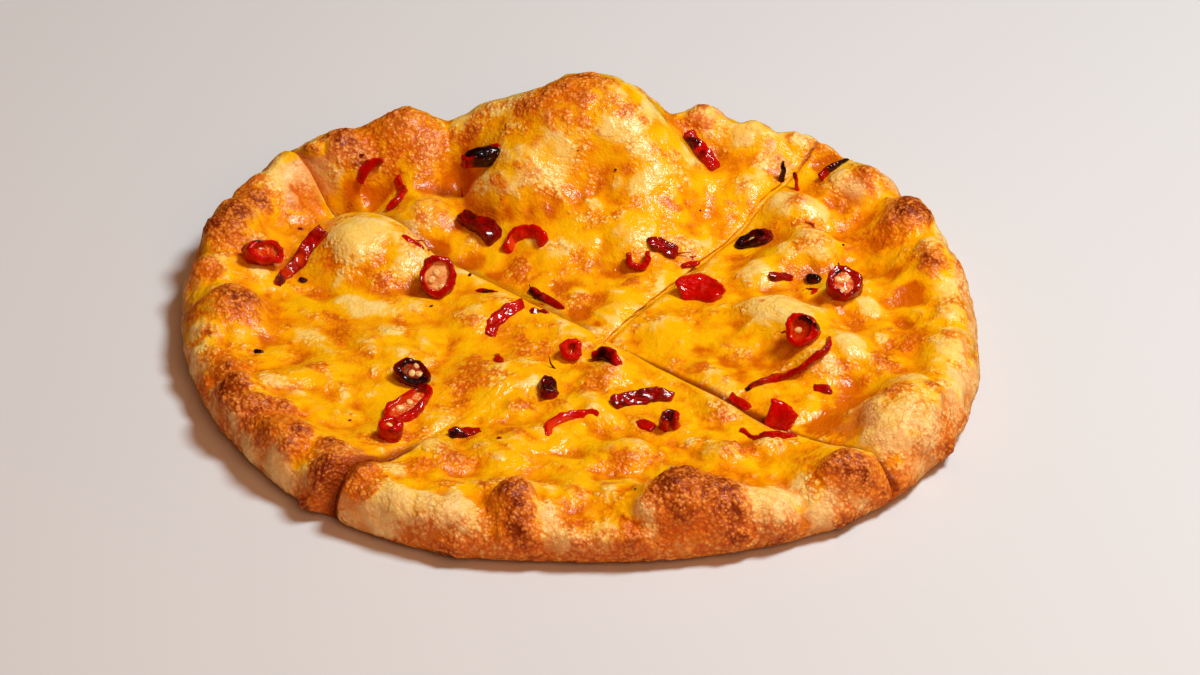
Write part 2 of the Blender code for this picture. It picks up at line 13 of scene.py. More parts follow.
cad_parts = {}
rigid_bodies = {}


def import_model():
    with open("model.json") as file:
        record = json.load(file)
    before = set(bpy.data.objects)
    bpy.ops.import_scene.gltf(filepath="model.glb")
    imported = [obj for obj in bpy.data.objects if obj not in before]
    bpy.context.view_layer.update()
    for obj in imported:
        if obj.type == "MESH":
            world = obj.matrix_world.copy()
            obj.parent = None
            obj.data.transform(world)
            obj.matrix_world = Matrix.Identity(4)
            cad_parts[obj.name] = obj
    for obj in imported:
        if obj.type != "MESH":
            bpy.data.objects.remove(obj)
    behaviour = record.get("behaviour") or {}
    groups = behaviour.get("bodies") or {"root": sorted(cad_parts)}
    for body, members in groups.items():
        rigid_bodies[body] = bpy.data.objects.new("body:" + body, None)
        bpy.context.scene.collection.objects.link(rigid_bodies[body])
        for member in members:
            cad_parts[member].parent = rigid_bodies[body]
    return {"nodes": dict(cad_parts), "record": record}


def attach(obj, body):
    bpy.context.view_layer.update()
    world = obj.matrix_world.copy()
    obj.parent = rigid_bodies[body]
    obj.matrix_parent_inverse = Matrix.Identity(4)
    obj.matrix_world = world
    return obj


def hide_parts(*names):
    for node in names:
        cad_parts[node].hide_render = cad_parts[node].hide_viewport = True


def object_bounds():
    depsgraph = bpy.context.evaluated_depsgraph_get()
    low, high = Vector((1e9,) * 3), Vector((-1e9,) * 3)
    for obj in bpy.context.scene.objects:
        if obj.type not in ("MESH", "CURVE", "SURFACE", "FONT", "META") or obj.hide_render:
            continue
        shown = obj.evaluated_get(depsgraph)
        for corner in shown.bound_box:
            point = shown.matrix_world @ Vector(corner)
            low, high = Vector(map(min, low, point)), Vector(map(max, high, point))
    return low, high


for leftover in list(bpy.data.objects):
    bpy.data.objects.remove(leftover, do_unlink=True)
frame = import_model()
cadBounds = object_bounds()
mm = 0.001
noise.seed_set(11)  # unset, every run would warp differently
sliceNames = ("back", "left", "front", "right")
chilliNames = sorted(name for name in frame["nodes"] if name.startswith("chilli_"))
print("frame loaded,", len(frame["nodes"]), "nodes")

# The camera of the photograph: the floor point on its axis, its distance and its pitch below the horizon.
photo = {
    "width": 1200,
    "height": 675,
    "focalPixels": 5408.0,
    "sensor": 36.0,
    "pitch": 34.7,
    "distance": 1494.0,
    "aim": (5.92, 7.12, 0.0),
}


def cameraAxes():
    pitch = math.radians(photo["pitch"])
    forward = Vector((0, math.cos(pitch), -math.sin(pitch)))
    up = Vector((0, math.sin(pitch), math.cos(pitch)))
    return Vector(photo["aim"]) - forward * photo["distance"], forward, up


def pixelRay(px, py):
    start, forward, up = cameraAxes()
    across = px - photo["width"] / 2
    down = py - photo["height"] / 2
    return start, (forward * photo["focalPixels"] + Vector((across, 0, 0)) - up * down).normalized()


# ---- small modelling helpers


def smoothStep(low, high, value):
    share = np.clip((value - low) / (high - low), 0.0, 1.0)
    return share * share * (3.0 - 2.0 * share)


def deselectAll():
    if bpy.context.mode != "OBJECT":
        bpy.ops.object.mode_set(mode="OBJECT")
    for item in bpy.context.view_layer.objects:
        item.select_set(False)


def pick(item):
    deselectAll()
    item.select_set(True)
    bpy.context.view_layer.objects.active = item


def copyNode(nodeName, newName):
    source = frame["nodes"][nodeName]
    made = bpy.data.objects.new(newName, source.data.copy())
    bpy.context.scene.collection.objects.link(made)
    made.data.materials.clear()
    pick(made)
    if made.data.has_custom_normals:
        bpy.ops.mesh.customdata_custom_splitnormals_clear()
    bpy.ops.object.mode_set(mode="EDIT")
    bpy.ops.mesh.select_all(action="SELECT")
    bpy.ops.mesh.remove_doubles(threshold=0.000002)
    bpy.ops.mesh.normals_make_consistent(inside=False)
    bpy.ops.object.mode_set(mode="OBJECT")
    return made


def addModifier(item, kind, **settings):
    pick(item)
    made = item.modifiers.new(kind.title(), kind)
    for key, value in settings.items():
        setattr(made, key, value)
    bpy.ops.object.modifier_apply(modifier=made.name)


def readPoints(item):
    flat = np.empty(len(item.data.vertices) * 3)
    item.data.vertices.foreach_get("co", flat)
    return flat.reshape(-1, 3) / mm


def writePoints(item, points):
    item.data.vertices.foreach_set("co", (points * mm).ravel())
    item.data.update()


def readNormals(item):
    flat = np.empty(len(item.data.vertices) * 3)
    item.data.vertices.foreach_get("normal", flat)
    return flat.reshape(-1, 3)


def storeValue(item, name, values):
    # one value for each vertex, or the same for all
    held = item.data.attributes.get(name) or item.data.attributes.new(name, "FLOAT", "POINT")
    spread = np.broadcast_to(np.asarray(values, dtype=np.float32), len(item.data.vertices))
    held.data.foreach_set("value", np.ascontiguousarray(spread))


def storeValues(item, values):
    for name, amounts in values.items():
        storeValue(item, name, amounts)


def readValue(item, name):
    values = np.empty(len(item.data.vertices), dtype=np.float32)
    item.data.attributes[name].data.foreach_get("value", values)
    return values.astype(float)


def softNoise(points, size, shift=0.0):
    offset = Vector((shift, -shift, 0.5 * shift))
    return np.array([noise.noise(Vector(point) / size + offset) for point in points])


def warpBy(points, size, amount):
    pushed = [noise.noise_vector(Vector(point) / size) for point in points]
    return points + amount * np.array(pushed)


def bubbles(points, size, shift=0.0):
    # round domes of uneven size, one in each cell
    smallest, spread, shuffle = 0.42, 0.38, 7.3
    offset = Vector((shift, shift, -shift))
    rise = np.empty(len(points))
    for index, point in enumerate(points):
        distances, centres = noise.voronoi(Vector(point) / size + offset)
        radius = smallest + spread * noise.cell(centres[0] * shuffle)
        rise[index] = math.sqrt(max(0.0, 1.0 - (distances[0] / radius) ** 2)) * radius
    return rise


# ---- where the bread is browned, pale, or deep in cheese: pixel x, y, radius and strength

bakeSpots = {
    # blisters that have gone brown, with knobs and small bubbles on them
    "brown": (
        (423, 109, 22, 0.9), (399, 116, 20, 0.7), (438, 114, 14, 0.8), (345, 141, 22, 0.9),
        (358, 160, 18, 0.7), (294, 150, 16, 0.9), (312, 150, 14, 0.8), (256, 180, 12, 0.5),
        (258, 204, 20, 0.9), (231, 208, 20, 0.9), (245, 213, 18, 0.8), (212, 226, 18, 1.0),
        (237, 298, 28, 1.0), (222, 292, 16, 0.8), (211, 335, 14, 0.7), (229, 370, 18, 0.8),
        (230, 386, 24, 1.0), (268, 408, 22, 0.9), (285, 409, 16, 1.0), (252, 423, 14, 0.8),
        (299, 430, 16, 0.9), (293, 446, 14, 0.7), (258, 436, 16, 0.5), (333, 446, 18, 1.0),
        (329, 467, 20, 1.0), (317, 484, 16, 0.9), (309, 503, 16, 1.0), (360, 466, 18, 0.8),
        (362, 486, 16, 0.6), (474, 131, 12, 0.7), (464, 141, 10, 0.6), (528, 106, 13, 0.8),
        (537, 100, 13, 0.6), (548, 93, 13, 0.7), (560, 86, 13, 0.7), (572, 80, 14, 0.7), (586, 77, 15, 0.8),
        (601, 80, 15, 0.6), (613, 91, 15, 0.4), (581, 98, 15, 0.5), (507, 131, 10, 0.7), (705, 108, 9, 0.6),
        (694, 120, 11, 0.6), (722, 112, 7, 0.5), (644, 93, 6, 0.6), (820, 140, 14, 0.8),
        (840, 147, 12, 0.8), (790, 135, 11, 0.8), (908, 206, 26, 1.0), (895, 217, 18, 0.8),
        (926, 214, 16, 0.9), (868, 172, 14, 0.6), (931, 262, 14, 0.8), (912, 343, 16, 0.6),
        (884, 366, 22, 0.6), (893, 390, 15, 0.6), (937, 386, 11, 0.7), (947, 446, 22, 0.8),
        (843, 461, 26, 1.0), (862, 470, 20, 0.9), (886, 492, 20, 0.6), (862, 486, 20, 0.4),
        (690, 472, 30, 0.8), (668, 480, 24, 1.0), (718, 486, 26, 0.8), (728, 512, 24, 0.9),
        (738, 534, 22, 0.8), (676, 505, 26, 0.6), (652, 500, 14, 0.6), (508, 492, 22, 1.0),
        (518, 505, 16, 0.9), (514, 527, 20, 1.0), (524, 545, 20, 0.7), (488, 486, 14, 0.5),
        (628, 541, 12, 0.5), (460, 462, 10, 0.7), (732, 449, 13, 0.8), (425, 551, 24, 0.9),
        (374, 540, 20, 0.8), (450, 552, 20, 0.8), (340, 524, 18, 0.8), (634, 552, 24, 0.6),
        (580, 556, 24, 0.5), (782, 537, 22, 0.6), (843, 521, 20, 0.6), (924, 484, 20, 0.7),
        (964, 420, 14, 0.5), (192, 300, 12, 0.4), (205, 385, 12, 0.5), (222, 430, 12, 0.5),
        (262, 478, 14, 0.6), (300, 506, 14, 0.8), (228, 205, 26, 0.6), (215, 232, 22, 0.6),
        (236, 224, 22, 0.5), (248, 192, 20, 0.5), (245, 395, 30, 0.6), (275, 420, 30, 0.5),
        (205, 262, 16, 0.5), (915, 205, 34, 0.6), (700, 490, 44, 0.5), (330, 460, 34, 0.5),
        (958, 262, 12, 0.5), (808, 232, 10, 0.5), (296, 196, 10, 0.5), (382, 279, 9, 0.6),
        (520, 268, 11, 0.5), (633, 283, 9, 0.5), (419, 464, 8, 0.5), (626, 521, 10, 0.5),
        (844, 373, 5, 0.6),
    ),
    # baked to a glowing orange; along the left rim this orange is partly toast and partly painted shade, on
    # the side turned from the light
    "golden": (
        (405, 150, 50, 0.7), (370, 130, 30, 0.8), (445, 160, 20, 0.5), (430, 130, 24, 0.7),
        (300, 200, 20, 0.7), (313, 215, 16, 0.6), (323, 265, 16, 0.5), (262, 250, 16, 0.4),
        (258, 196, 26, 0.7), (240, 240, 18, 0.6), (237, 298, 42, 0.7), (284, 328, 10, 0.8),
        (233, 365, 34, 0.7), (339, 341, 12, 0.8), (317, 366, 13, 0.8), (384, 280, 14, 0.7),
        (429, 302, 8, 0.6), (472, 358, 18, 0.9), (478, 370, 22, 0.8), (470, 322, 12, 0.7),
        (456, 383, 20, 0.7), (523, 344, 16, 0.9), (548, 340, 14, 0.6), (519, 267, 16, 0.9),
        (633, 283, 13, 0.9), (584, 297, 11, 0.5), (602, 373, 18, 0.9), (590, 385, 16, 0.8),
        (694, 370, 14, 0.9), (808, 232, 16, 0.8), (751, 259, 14, 0.7), (863, 230, 16, 0.8),
        (895, 225, 22, 0.6), (850, 212, 10, 0.5), (800, 200, 12, 0.7), (778, 218, 10, 0.7),
        (761, 302, 5, 0.7), (751, 332, 5, 0.7), (706, 367, 8, 0.5), (910, 343, 20, 0.7),
        (675, 206, 14, 0.8), (526, 170, 14, 0.7), (501, 184, 10, 0.6), (499, 203, 9, 0.6),
        (609, 216, 8, 0.5), (655, 156, 12, 0.6), (581, 100, 34, 0.7), (625, 110, 22, 0.5),
        (538, 142, 14, 0.5), (470, 140, 18, 0.6), (748, 205, 16, 0.4), (696, 125, 16, 0.6),
        (722, 125, 22, 0.4), (774, 163, 14, 0.4), (884, 370, 26, 0.7), (894, 388, 18, 0.7),
        (876, 330, 18, 0.4), (845, 462, 34, 0.7), (886, 490, 28, 0.6), (690, 485, 48, 0.8),
        (676, 512, 22, 0.9), (522, 404, 16, 0.8), (517, 434, 16, 0.8), (470, 434, 14, 0.6),
        (634, 414, 14, 0.7), (618, 458, 22, 0.8), (732, 450, 20, 0.7), (722, 418, 16, 0.8),
        (459, 462, 18, 0.8), (452, 484, 16, 0.5), (508, 500, 30, 0.6), (573, 487, 12, 0.7),
        (571, 524, 12, 0.9), (628, 536, 14, 0.8), (626, 520, 12, 0.6), (560, 470, 9, 0.6),
        (419, 462, 14, 0.7), (366, 440, 18, 0.7), (400, 440, 14, 0.5), (362, 472, 24, 0.8),
        (300, 430, 34, 0.6), (345, 470, 34, 0.7), (268, 420, 30, 0.6), (425, 545, 40, 0.6),
        (540, 548, 44, 0.5), (650, 548, 44, 0.5), (780, 530, 40, 0.5), (900, 488, 34, 0.5),
        (947, 440, 30, 0.5), (320, 510, 30, 0.6), (222, 420, 24, 0.4), (908, 210, 36, 0.6),
        (936, 262, 24, 0.5), (868, 176, 22, 0.5), (750, 446, 14, 0.6), (800, 462, 16, 0.6),
        (806, 486, 14, 0.5), (750, 500, 16, 0.4), (832, 152, 22, 0.5), (640, 330, 8, 0.3),
        (560, 404, 12, 0.4), (670, 440, 14, 0.5), (700, 440, 12, 0.4), (395, 365, 10, 0.4),
        (420, 392, 12, 0.5), (545, 118, 34, 0.5), (905, 420, 40, 0.5), (492, 114, 30, 0.5),
        (515, 112, 22, 0.6), (450, 215, 32, 0.5), (222, 240, 24, 0.7), (206, 270, 22, 0.7),
        (196, 310, 22, 0.6), (200, 395, 22, 0.7), (222, 440, 24, 0.7), (250, 475, 22, 0.6),
        (285, 508, 26, 0.7), (600, 552, 40, 0.4), (560, 85, 30, 0.7), (530, 105, 20, 0.6),
        (960, 300, 20, 0.4), (964, 340, 20, 0.4), (940, 470, 24, 0.5), (700, 550, 40, 0.5),
        (480, 552, 40, 0.5),
    ),
    # pale dough and thin, whitish cheese over the tops of puffs; the small spots along the upper right cut
    # paint the rounded edge of the slice there pale, partly as painted light
    "pale": (
        (345, 300, 16, 0.6), (276, 176, 20, 0.9), (258, 190, 8, 0.4), (354, 240, 26, 0.9),
        (372, 228, 20, 0.7), (401, 271, 12, 1.0), (258, 273, 11, 1.0), (374, 312, 18, 0.8),
        (392, 331, 14, 1.0), (356, 318, 12, 0.6), (313, 334, 16, 0.8), (199, 333, 12, 0.9),
        (193, 360, 14, 0.9), (272, 382, 16, 1.0), (296, 392, 10, 0.8), (237, 419, 10, 0.8),
        (248, 452, 16, 0.9), (276, 468, 20, 0.9), (286, 488, 14, 0.7), (397, 468, 12, 1.0),
        (394, 500, 26, 0.9), (430, 505, 26, 0.9), (456, 503, 22, 1.0), (470, 520, 20, 0.8),
        (380, 518, 18, 0.7), (500, 110, 34, 0.8), (520, 100, 22, 0.8), (555, 178, 16, 0.9),
        (566, 157, 14, 0.8), (617, 182, 14, 0.9), (595, 202, 12, 0.9), (636, 190, 16, 0.7),
        (648, 178, 16, 0.6), (668, 100, 18, 0.7), (690, 104, 10, 0.5), (763, 166, 14, 0.9),
        (735, 140, 18, 0.6), (841, 176, 12, 0.9), (858, 190, 12, 0.6), (941, 236, 14, 0.8),
        (950, 290, 16, 0.6), (560, 252, 14, 0.6), (545, 246, 10, 0.5), (771, 308, 22, 0.8),
        (800, 316, 16, 0.6), (873, 308, 16, 0.8), (884, 343, 11, 0.8), (851, 346, 16, 0.9),
        (862, 356, 10, 0.7), (820, 252, 12, 0.6), (826, 212, 8, 0.6), (873, 404, 18, 0.7),
        (916, 408, 24, 0.9), (904, 432, 18, 0.8), (880, 440, 16, 0.6), (930, 430, 16, 0.7),
        (788, 497, 26, 1.0), (770, 514, 20, 0.8), (820, 508, 16, 0.8), (800, 476, 10, 0.5),
        (646, 513, 14, 1.0), (648, 530, 12, 0.8), (544, 514, 16, 0.9), (553, 530, 18, 0.9),
        (573, 540, 18, 0.9), (600, 532, 16, 0.7), (614, 486, 12, 0.5), (590, 508, 12, 0.5),
        (550, 488, 12, 0.5), (665, 433, 10, 0.5), (690, 446, 12, 0.6), (615, 320, 7, 0.9),
        (640, 306, 6, 0.8), (665, 290, 6, 0.8), (686, 268, 6, 0.7), (712, 247, 6, 0.6), (733, 226, 7, 0.5),
        (594, 330, 6, 0.6), (340, 280, 14, 0.4), (430, 380, 12, 0.6), (530, 388, 14, 0.5),
        (497, 365, 10, 0.6), (735, 380, 10, 0.3), (482, 286, 10, 0.4), (345, 400, 10, 0.6),
        (365, 396, 8, 0.5), (215, 262, 12, 0.4), (300, 262, 9, 0.3), (955, 350, 14, 0.6),
        (960, 380, 14, 0.6), (640, 345, 14, 0.3), (748, 494, 26, 0.8), (625, 125, 24, 0.6),
        (643, 150, 18, 0.5), (655, 110, 16, 0.6), (700, 112, 16, 0.5), (880, 425, 34, 0.4),
        (310, 332, 30, 0.6), (362, 300, 28, 0.5), (772, 302, 30, 0.5), (560, 170, 40, 0.4),
    ),
    # bright molten pools, smooth and saturated
    "pool": (
        (333, 302, 22, 0.8), (284, 298, 18, 0.8), (350, 288, 14, 0.6), (429, 322, 16, 0.7),
        (482, 247, 20, 0.7), (472, 281, 12, 0.6), (655, 345, 26, 0.9), (640, 365, 18, 0.7),
        (512, 420, 14, 0.7), (597, 437, 22, 1.0), (572, 452, 18, 0.9), (620, 426, 12, 0.8),
        (671, 392, 16, 0.9), (695, 406, 12, 0.6), (700, 340, 20, 0.5), (540, 300, 12, 0.6),
        (585, 232, 16, 0.7), (600, 250, 18, 0.7), (640, 222, 12, 0.6), (330, 205, 24, 0.9),
        (352, 214, 14, 0.8), (300, 245, 12, 0.5), (300, 305, 14, 0.7), (330, 330, 12, 0.6),
        (318, 384, 18, 0.8), (345, 376, 16, 0.9), (360, 400, 14, 0.8), (380, 356, 12, 0.7),
        (440, 340, 14, 0.7), (450, 302, 12, 0.6), (766, 462, 14, 0.9), (785, 452, 12, 0.7),
        (520, 355, 8, 0.5), (561, 352, 10, 0.6), (580, 400, 12, 0.6), (545, 420, 10, 0.5),
        (832, 205, 12, 0.6), (800, 215, 10, 0.6), (745, 240, 12, 0.5), (770, 258, 12, 0.5),
        (835, 290, 12, 0.6), (680, 330, 16, 0.6), (720, 320, 18, 0.5), (860, 330, 10, 0.6),
        (700, 184, 12, 0.5), (726, 190, 14, 0.6), (690, 228, 14, 0.6), (560, 224, 10, 0.6),
        (470, 262, 12, 0.5), (500, 240, 14, 0.5), (402, 340, 12, 0.6), (410, 430, 10, 0.5),
        (495, 410, 10, 0.6), (625, 400, 8, 0.5), (870, 450, 5, 0.8),
    ),
    # deep, oily and translucent: hollows and undersides where the fat has gathered; in the recess under the
    # upper left rim, behind the upper left cut and on the big bubble's left flank the amber is partly painted
    # shade
    "amber": (
        (318, 168, 18, 1.0), (330, 180, 12, 0.8), (305, 158, 10, 0.8), (350, 186, 14, 0.6),
        (372, 196, 14, 0.7), (400, 205, 22, 0.8), (392, 184, 14, 0.5), (425, 190, 20, 0.7),
        (440, 205, 24, 0.7), (455, 175, 20, 0.6), (478, 215, 20, 0.6), (452, 228, 18, 0.8),
        (440, 248, 14, 0.9), (470, 260, 16, 0.7), (490, 275, 12, 0.6), (506, 212, 16, 0.5),
        (540, 210, 18, 0.5), (560, 285, 18, 0.6), (580, 312, 16, 0.9), (596, 322, 8, 0.9),
        (600, 300, 16, 0.6), (612, 270, 16, 0.4), (912, 292, 18, 0.9), (905, 320, 14, 0.7),
        (893, 270, 14, 0.6), (886, 300, 12, 0.4), (840, 400, 24, 1.0), (826, 420, 22, 0.9),
        (858, 410, 16, 0.7), (810, 430, 16, 0.6), (850, 384, 14, 0.6), (706, 350, 18, 0.6),
        (730, 358, 20, 0.7), (760, 364, 18, 0.6), (740, 372, 16, 0.7), (616, 484, 16, 0.8),
        (636, 492, 10, 0.6), (590, 475, 12, 0.6), (823, 162, 16, 0.9), (806, 158, 12, 0.6),
        (836, 160, 10, 0.6), (280, 268, 12, 0.4), (270, 292, 9, 0.5), (268, 340, 10, 0.5),
        (715, 430, 12, 0.5), (488, 462, 10, 0.4), (445, 492, 10, 0.4), (575, 506, 14, 0.5),
        (545, 545, 16, 0.3), (815, 260, 14, 0.4), (790, 246, 12, 0.5), (735, 268, 12, 0.5),
        (700, 266, 8, 0.5), (620, 168, 20, 0.4), (490, 120, 16, 0.4), (800, 400, 14, 0.5),
        (880, 240, 12, 0.6), (840, 240, 10, 0.5), (760, 420, 14, 0.4), (740, 400, 12, 0.5),
        (500, 126, 24, 0.5), (522, 140, 20, 0.4), (470, 150, 16, 0.5), (495, 150, 14, 0.4),
    ),
    # broad smooth domes, where the lumps and puffs lie flat
    "smooth": (
        (560, 150, 70, 1.0), (500, 120, 50, 0.9), (625, 130, 55, 0.9), (540, 190, 40, 0.5),
        (640, 170, 40, 0.5), (370, 235, 26, 0.6), (880, 425, 40, 0.5), (785, 310, 26, 0.5),
        (590, 80, 40, 0.9), (700, 340, 24, 0.4),
    ),
}
spotReach = {"brown": 1.32, "golden": 1.50, "pale": 1.60, "pool": 1.40, "amber": 1.45, "smooth": 1.35}
spotWarp = {"coarse": (7.0, 2.2), "fine": (2.2, 0.8)}  # noise size and push that roughen the spots' edges
domeShape = {"reach": 1.25, "steepness": 1.2, "fullRadius": 4.0}


# ---- loaves: each slice as one closed body, its bread raised to the top of its cheese

loafShape = {
    "levels": 3,
    "crease": 0.72,
    "sharpAngle": 48.0,
    "fullCheese": 1.2,
    "lowestTop": 3.0,
    "sameCorner": 0.05,
    "soleSlope": -0.99,
}


def raiseToCheese(loaf, cheeseNode):
    tree = KDTree(len(cheeseNode.data.vertices))
    heights = [vertex.co.z / mm for vertex in cheeseNode.data.vertices]
    for index, vertex in enumerate(cheeseNode.data.vertices):
        tree.insert((vertex.co.x / mm, vertex.co.y / mm, 0.0), index)
    tree.balance()
    points = readPoints(loaf)
    amount = np.zeros(len(points))
    for index, (x, y, z) in enumerate(points):
        found = tree.find_range((x, y, 0.0), loafShape["sameCorner"])
        near = [heights[place] for _, place, _ in found]
        if near and z > loafShape["lowestTop"]:
            points[index, 2] = max(near)
            amount[index] = min(1.0, (max(near) - min(near)) / loafShape["fullCheese"])
    writePoints(loaf, points)
    storeValue(loaf, "cheese", amount)


def makeLoaf(sliceName):
    loaf = copyNode("bread_" + sliceName, "loaf_" + sliceName)
    raiseToCheese(loaf, frame["nodes"]["cheese_" + sliceName])
    pick(loaf)
    bpy.ops.object.mode_set(mode="EDIT")
    shape = bmesh.from_edit_mesh(loaf.data)
    for face in shape.faces:
        face.select = face.normal.z < loafShape["soleSlope"]
    bmesh.update_edit_mesh(loaf.data)
    bpy.ops.mesh.dissolve_faces()
    bpy.ops.mesh.select_all(action="DESELECT")
    bpy.ops.mesh.select_mode(type="EDGE")
    bpy.ops.mesh.edges_select_sharp(sharpness=math.radians(loafShape["sharpAngle"]))
    bpy.ops.transform.edge_crease(value=loafShape["crease"])
    bpy.ops.object.mode_set(mode="OBJECT")
    addModifier(loaf, "SUBSURF", levels=loafShape["levels"], render_levels=loafShape["levels"])
    return loaf


loaves = {name: makeLoaf(name) for name in sliceNames}
print("loaves:", {name: len(loaf.data.vertices) for name, loaf in loaves.items()})


def surfaceTree(items):
    points = []
    faces = []
    for item in items:
        start = len(points)
        points += [vertex.co / mm for vertex in item.data.vertices]
        faces += [[start + index for index in face.vertices] for face in item.data.polygons]
    return BVHTree.FromPolygons(points, faces)


wholeTree = surfaceTree(loaves.values())


def fromPhoto(px, py):
    start, direction = pixelRay(px, py)
    return wholeTree.ray_cast(start, direction)[0]


spotPlaces = {}
for kind, spots in bakeSpots.items():
    spotPlaces[kind] = []
    for px, py, radius, strength in spots:
        place = fromPhoto(px, py)
        if place:
            millimetres = radius * photo["distance"] / photo["focalPixels"]
            spotPlaces[kind].append((np.array(place), millimetres, strength))
print("baked spots placed:", {kind: len(found) for kind, found in spotPlaces.items()})


def bakeMasks(points):
    warped = warpBy(points, *spotWarp["coarse"])
    warped = warpBy(warped, *spotWarp["fine"])
    masks = {}
    for kind, spots in spotPlaces.items():
        left = np.ones(len(points))
        for place, radius, strength in spots:
            away = np.linalg.norm(warped - place, axis=1)
            left *= 1.0 - strength * (1.0 - smoothStep(0.0, spotReach[kind] * radius, away))
        masks[kind] = 1.0 - left
    return masks


def domes(points, kind):
    rise = np.zeros(len(points))
    for place, radius, strength in spotPlaces[kind]:
        away = np.linalg.norm(points - place, axis=1) / (domeShape["reach"] * radius)
        dome = np.clip(1.0 - away * away, 0.0, 1.0) ** domeShape["steepness"]
        rise = np.maximum(rise, strength * dome * min(1.0, radius / domeShape["fullRadius"]))
    return rise


# ---- cuts: where they cross, and the direction and the name of each arm

cuts = {
    "crossing": (6.16, -6.61),
    "angles": {"farRight": 53.5, "farLeft": 139.2, "nearLeft": 225.5, "nearRight": 319.2},
    # how far a slice's edge stands up or sinks along an arm
    "lift": {
        ("farLeft", "back"): 1.0, ("farLeft", "left"): -0.2, ("farRight", "back"): -0.7,
        ("farRight", "right"): 0.8, ("nearRight", "front"): -0.2, ("nearRight", "right"): 0.3,
    },
    "liftReach": (0.5, 6.5),
    "liftStart": (1.0, 9.0),
    # how dark a slice's edge is along the gap: oil stain from the fat in it, and painted shade of the gap
    "stainAndShade": {
        ("farLeft", "back"): 1.0, ("farRight", "back"): 0.0, ("farRight", "right"): 0.5,
        ("nearRight", "front"): 0.1, ("nearRight", "right"): 1.2,
    },
    "stainAndShadeReach": (0.3, 5.4),
    "lineReach": (0.1, 0.8),
    # and the painted shade of the gap itself, beside the edge in front of it
    "farShade": {("farLeft", "back"): 0.55},
    "farShadeReach": (2.8, 6.0),
    "nearShade": {("nearRight", "right"): 1.0},
    "nearShadeReach": (1.5, 3.6),
    # the rim's notch, carved in and painted dark as shade, where the lower left cut opens again
    "notchArm": "nearLeft",
    "notchStart": (64.0, 76.0),
    "notchReach": (0.5, 4.2),
    "notchDepth": 2.6,
    "notchDown": 0.7,
    "notchShade": 0.8,
    "raisedFrom": (2.0, 6.5),  # the heights between which an edge starts to follow its lift
    "hollowFree": (0.4, 2.5),
}


def cutDistance(points, arm):
    # how far each point lies along the arm, and how far to its left
    turn = math.radians(cuts["angles"][arm])
    x = points[:, 0] - cuts["crossing"][0]
    y = points[:, 1] - cuts["crossing"][1]
    along = x * math.cos(turn) + y * math.sin(turn)
    across = y * math.cos(turn) - x * math.sin(turn)
    return along, across


def besideCut(points, sliceName, kind, reach):
    # the value that a slice's edges have along its arms, fading away from them
    total = np.zeros(len(points))
    for (arm, name), amount in cuts[kind].items():
        if name == sliceName:
            along, across = cutDistance(points, arm)
            near = 1.0 - smoothStep(*reach, np.abs(across))
            total += amount * near * smoothStep(*cuts["liftStart"], along)
    return total


def notchShare(points):
    along, across = cutDistance(points, cuts["notchArm"])
    near = 1.0 - smoothStep(*cuts["notchReach"], np.abs(across))
    return near * smoothStep(*cuts["notchStart"], along)


def nearestCut(points):
    nearest = np.full(len(points), 1000.0)
    for arm in cuts["angles"]:
        along, across = cutDistance(points, arm)
        nearest = np.minimum(nearest, np.hypot(across, np.minimum(along, 0.0)))
    return nearest


# ---- relief: lumps, baked bubbles and wrinkles, pushed along the surface's normals

relief = {
    "puffSize": 15.0,
    "puffHeight": 2.7,
    "swellSize": 6.6,
    "swellHeight": 0.70,
    "lumpSize": 3.3,
    "lumpHeight": 0.30,
    "wrinkleSize": 1.9,
    "wrinkleHeight": 0.20,
    "knobSize": 3.6,
    "knobHeight": 1.0,
    "bubbleSize": 1.75,
    "bubbleHeight": 0.62,
    "rise": {"brown": 1.5, "golden": 0.4, "pale": 1.0, "pool": -0.7, "amber": -1.0},
    "riseShare": (0.3, 0.7),  # at least this, and this more where no broad dome is
    "level": -1.1,
    "smoothShare": 0.85,
    "smoothPuff": 0.25,
    "poolCalm": 0.75,
    "amberCalm": 0.4,
    "bareBlisters": 0.4,
    "goldenBlisters": 0.45,
    "beadGain": 1.4,
    "topSlope": (0.2, 0.6),
    # thin cheese lies on what faces up, more or less so from place to place
    "spreadSlope": (0.42, 0.90),
    "spreadSize": 13.0,
    "spreadRough": 0.30,
    "spreadShare": 0.9,
    "paleShare": 0.5,
    # the foot of the crust, browned all round
    "footReach": (0.5, 5.5),
    "footRough": 2.5,
    "footBrown": 0.6,
    "footFade": (0.3, 4.0),
    "sideFade": 0.55,
    "cutFade": (0.6, 4.0),
    "cutShare": 0.35,
    "softLimit": 1.4,
    "headroom": 0.1,
    "below": -10.0,  # well under the table, so that only the ceiling bends the heights
    "breadDrop": 1.6,
    "dropSlope": (0.25, 0.7),
    "cheeseEdge": 0.5,
    "cheeseRagged": (5.0, 0.30, 1.7, 0.22),
    "cheeseLip": 0.16,
    "cheeseLipWidth": 0.15,
    "cheeseDip": 2.2,
    "cheeseFilm": 1.3,
    "filmLeast": {"cheese": 0.22, "slope": 0.12, "height": 2.0},  # what lies below any of these is cut off
    "fullCheese": 0.9,
    "foldSlope": 0.1,
    "foldReach": 1.6,
    "foldRounds": 20,
    "hollowRounds": (12, 90),  # rounds of smoothing that fine and broad hollows are measured against
    "hollowDepth": (0.16, 0.75),
    "hollowSoftening": 3,
}


def softClamp(values, low, high, margin):
    # bends what would pass the box back inside it, with no flat left behind
    over = np.maximum(values - (high - margin), 0.0)
    under = np.maximum((low + margin) - values, 0.0)
    values = np.where(over > 0, high - margin * np.exp(-over / margin), values)
    return np.where(under > 0, low + margin * np.exp(-under / margin), values)


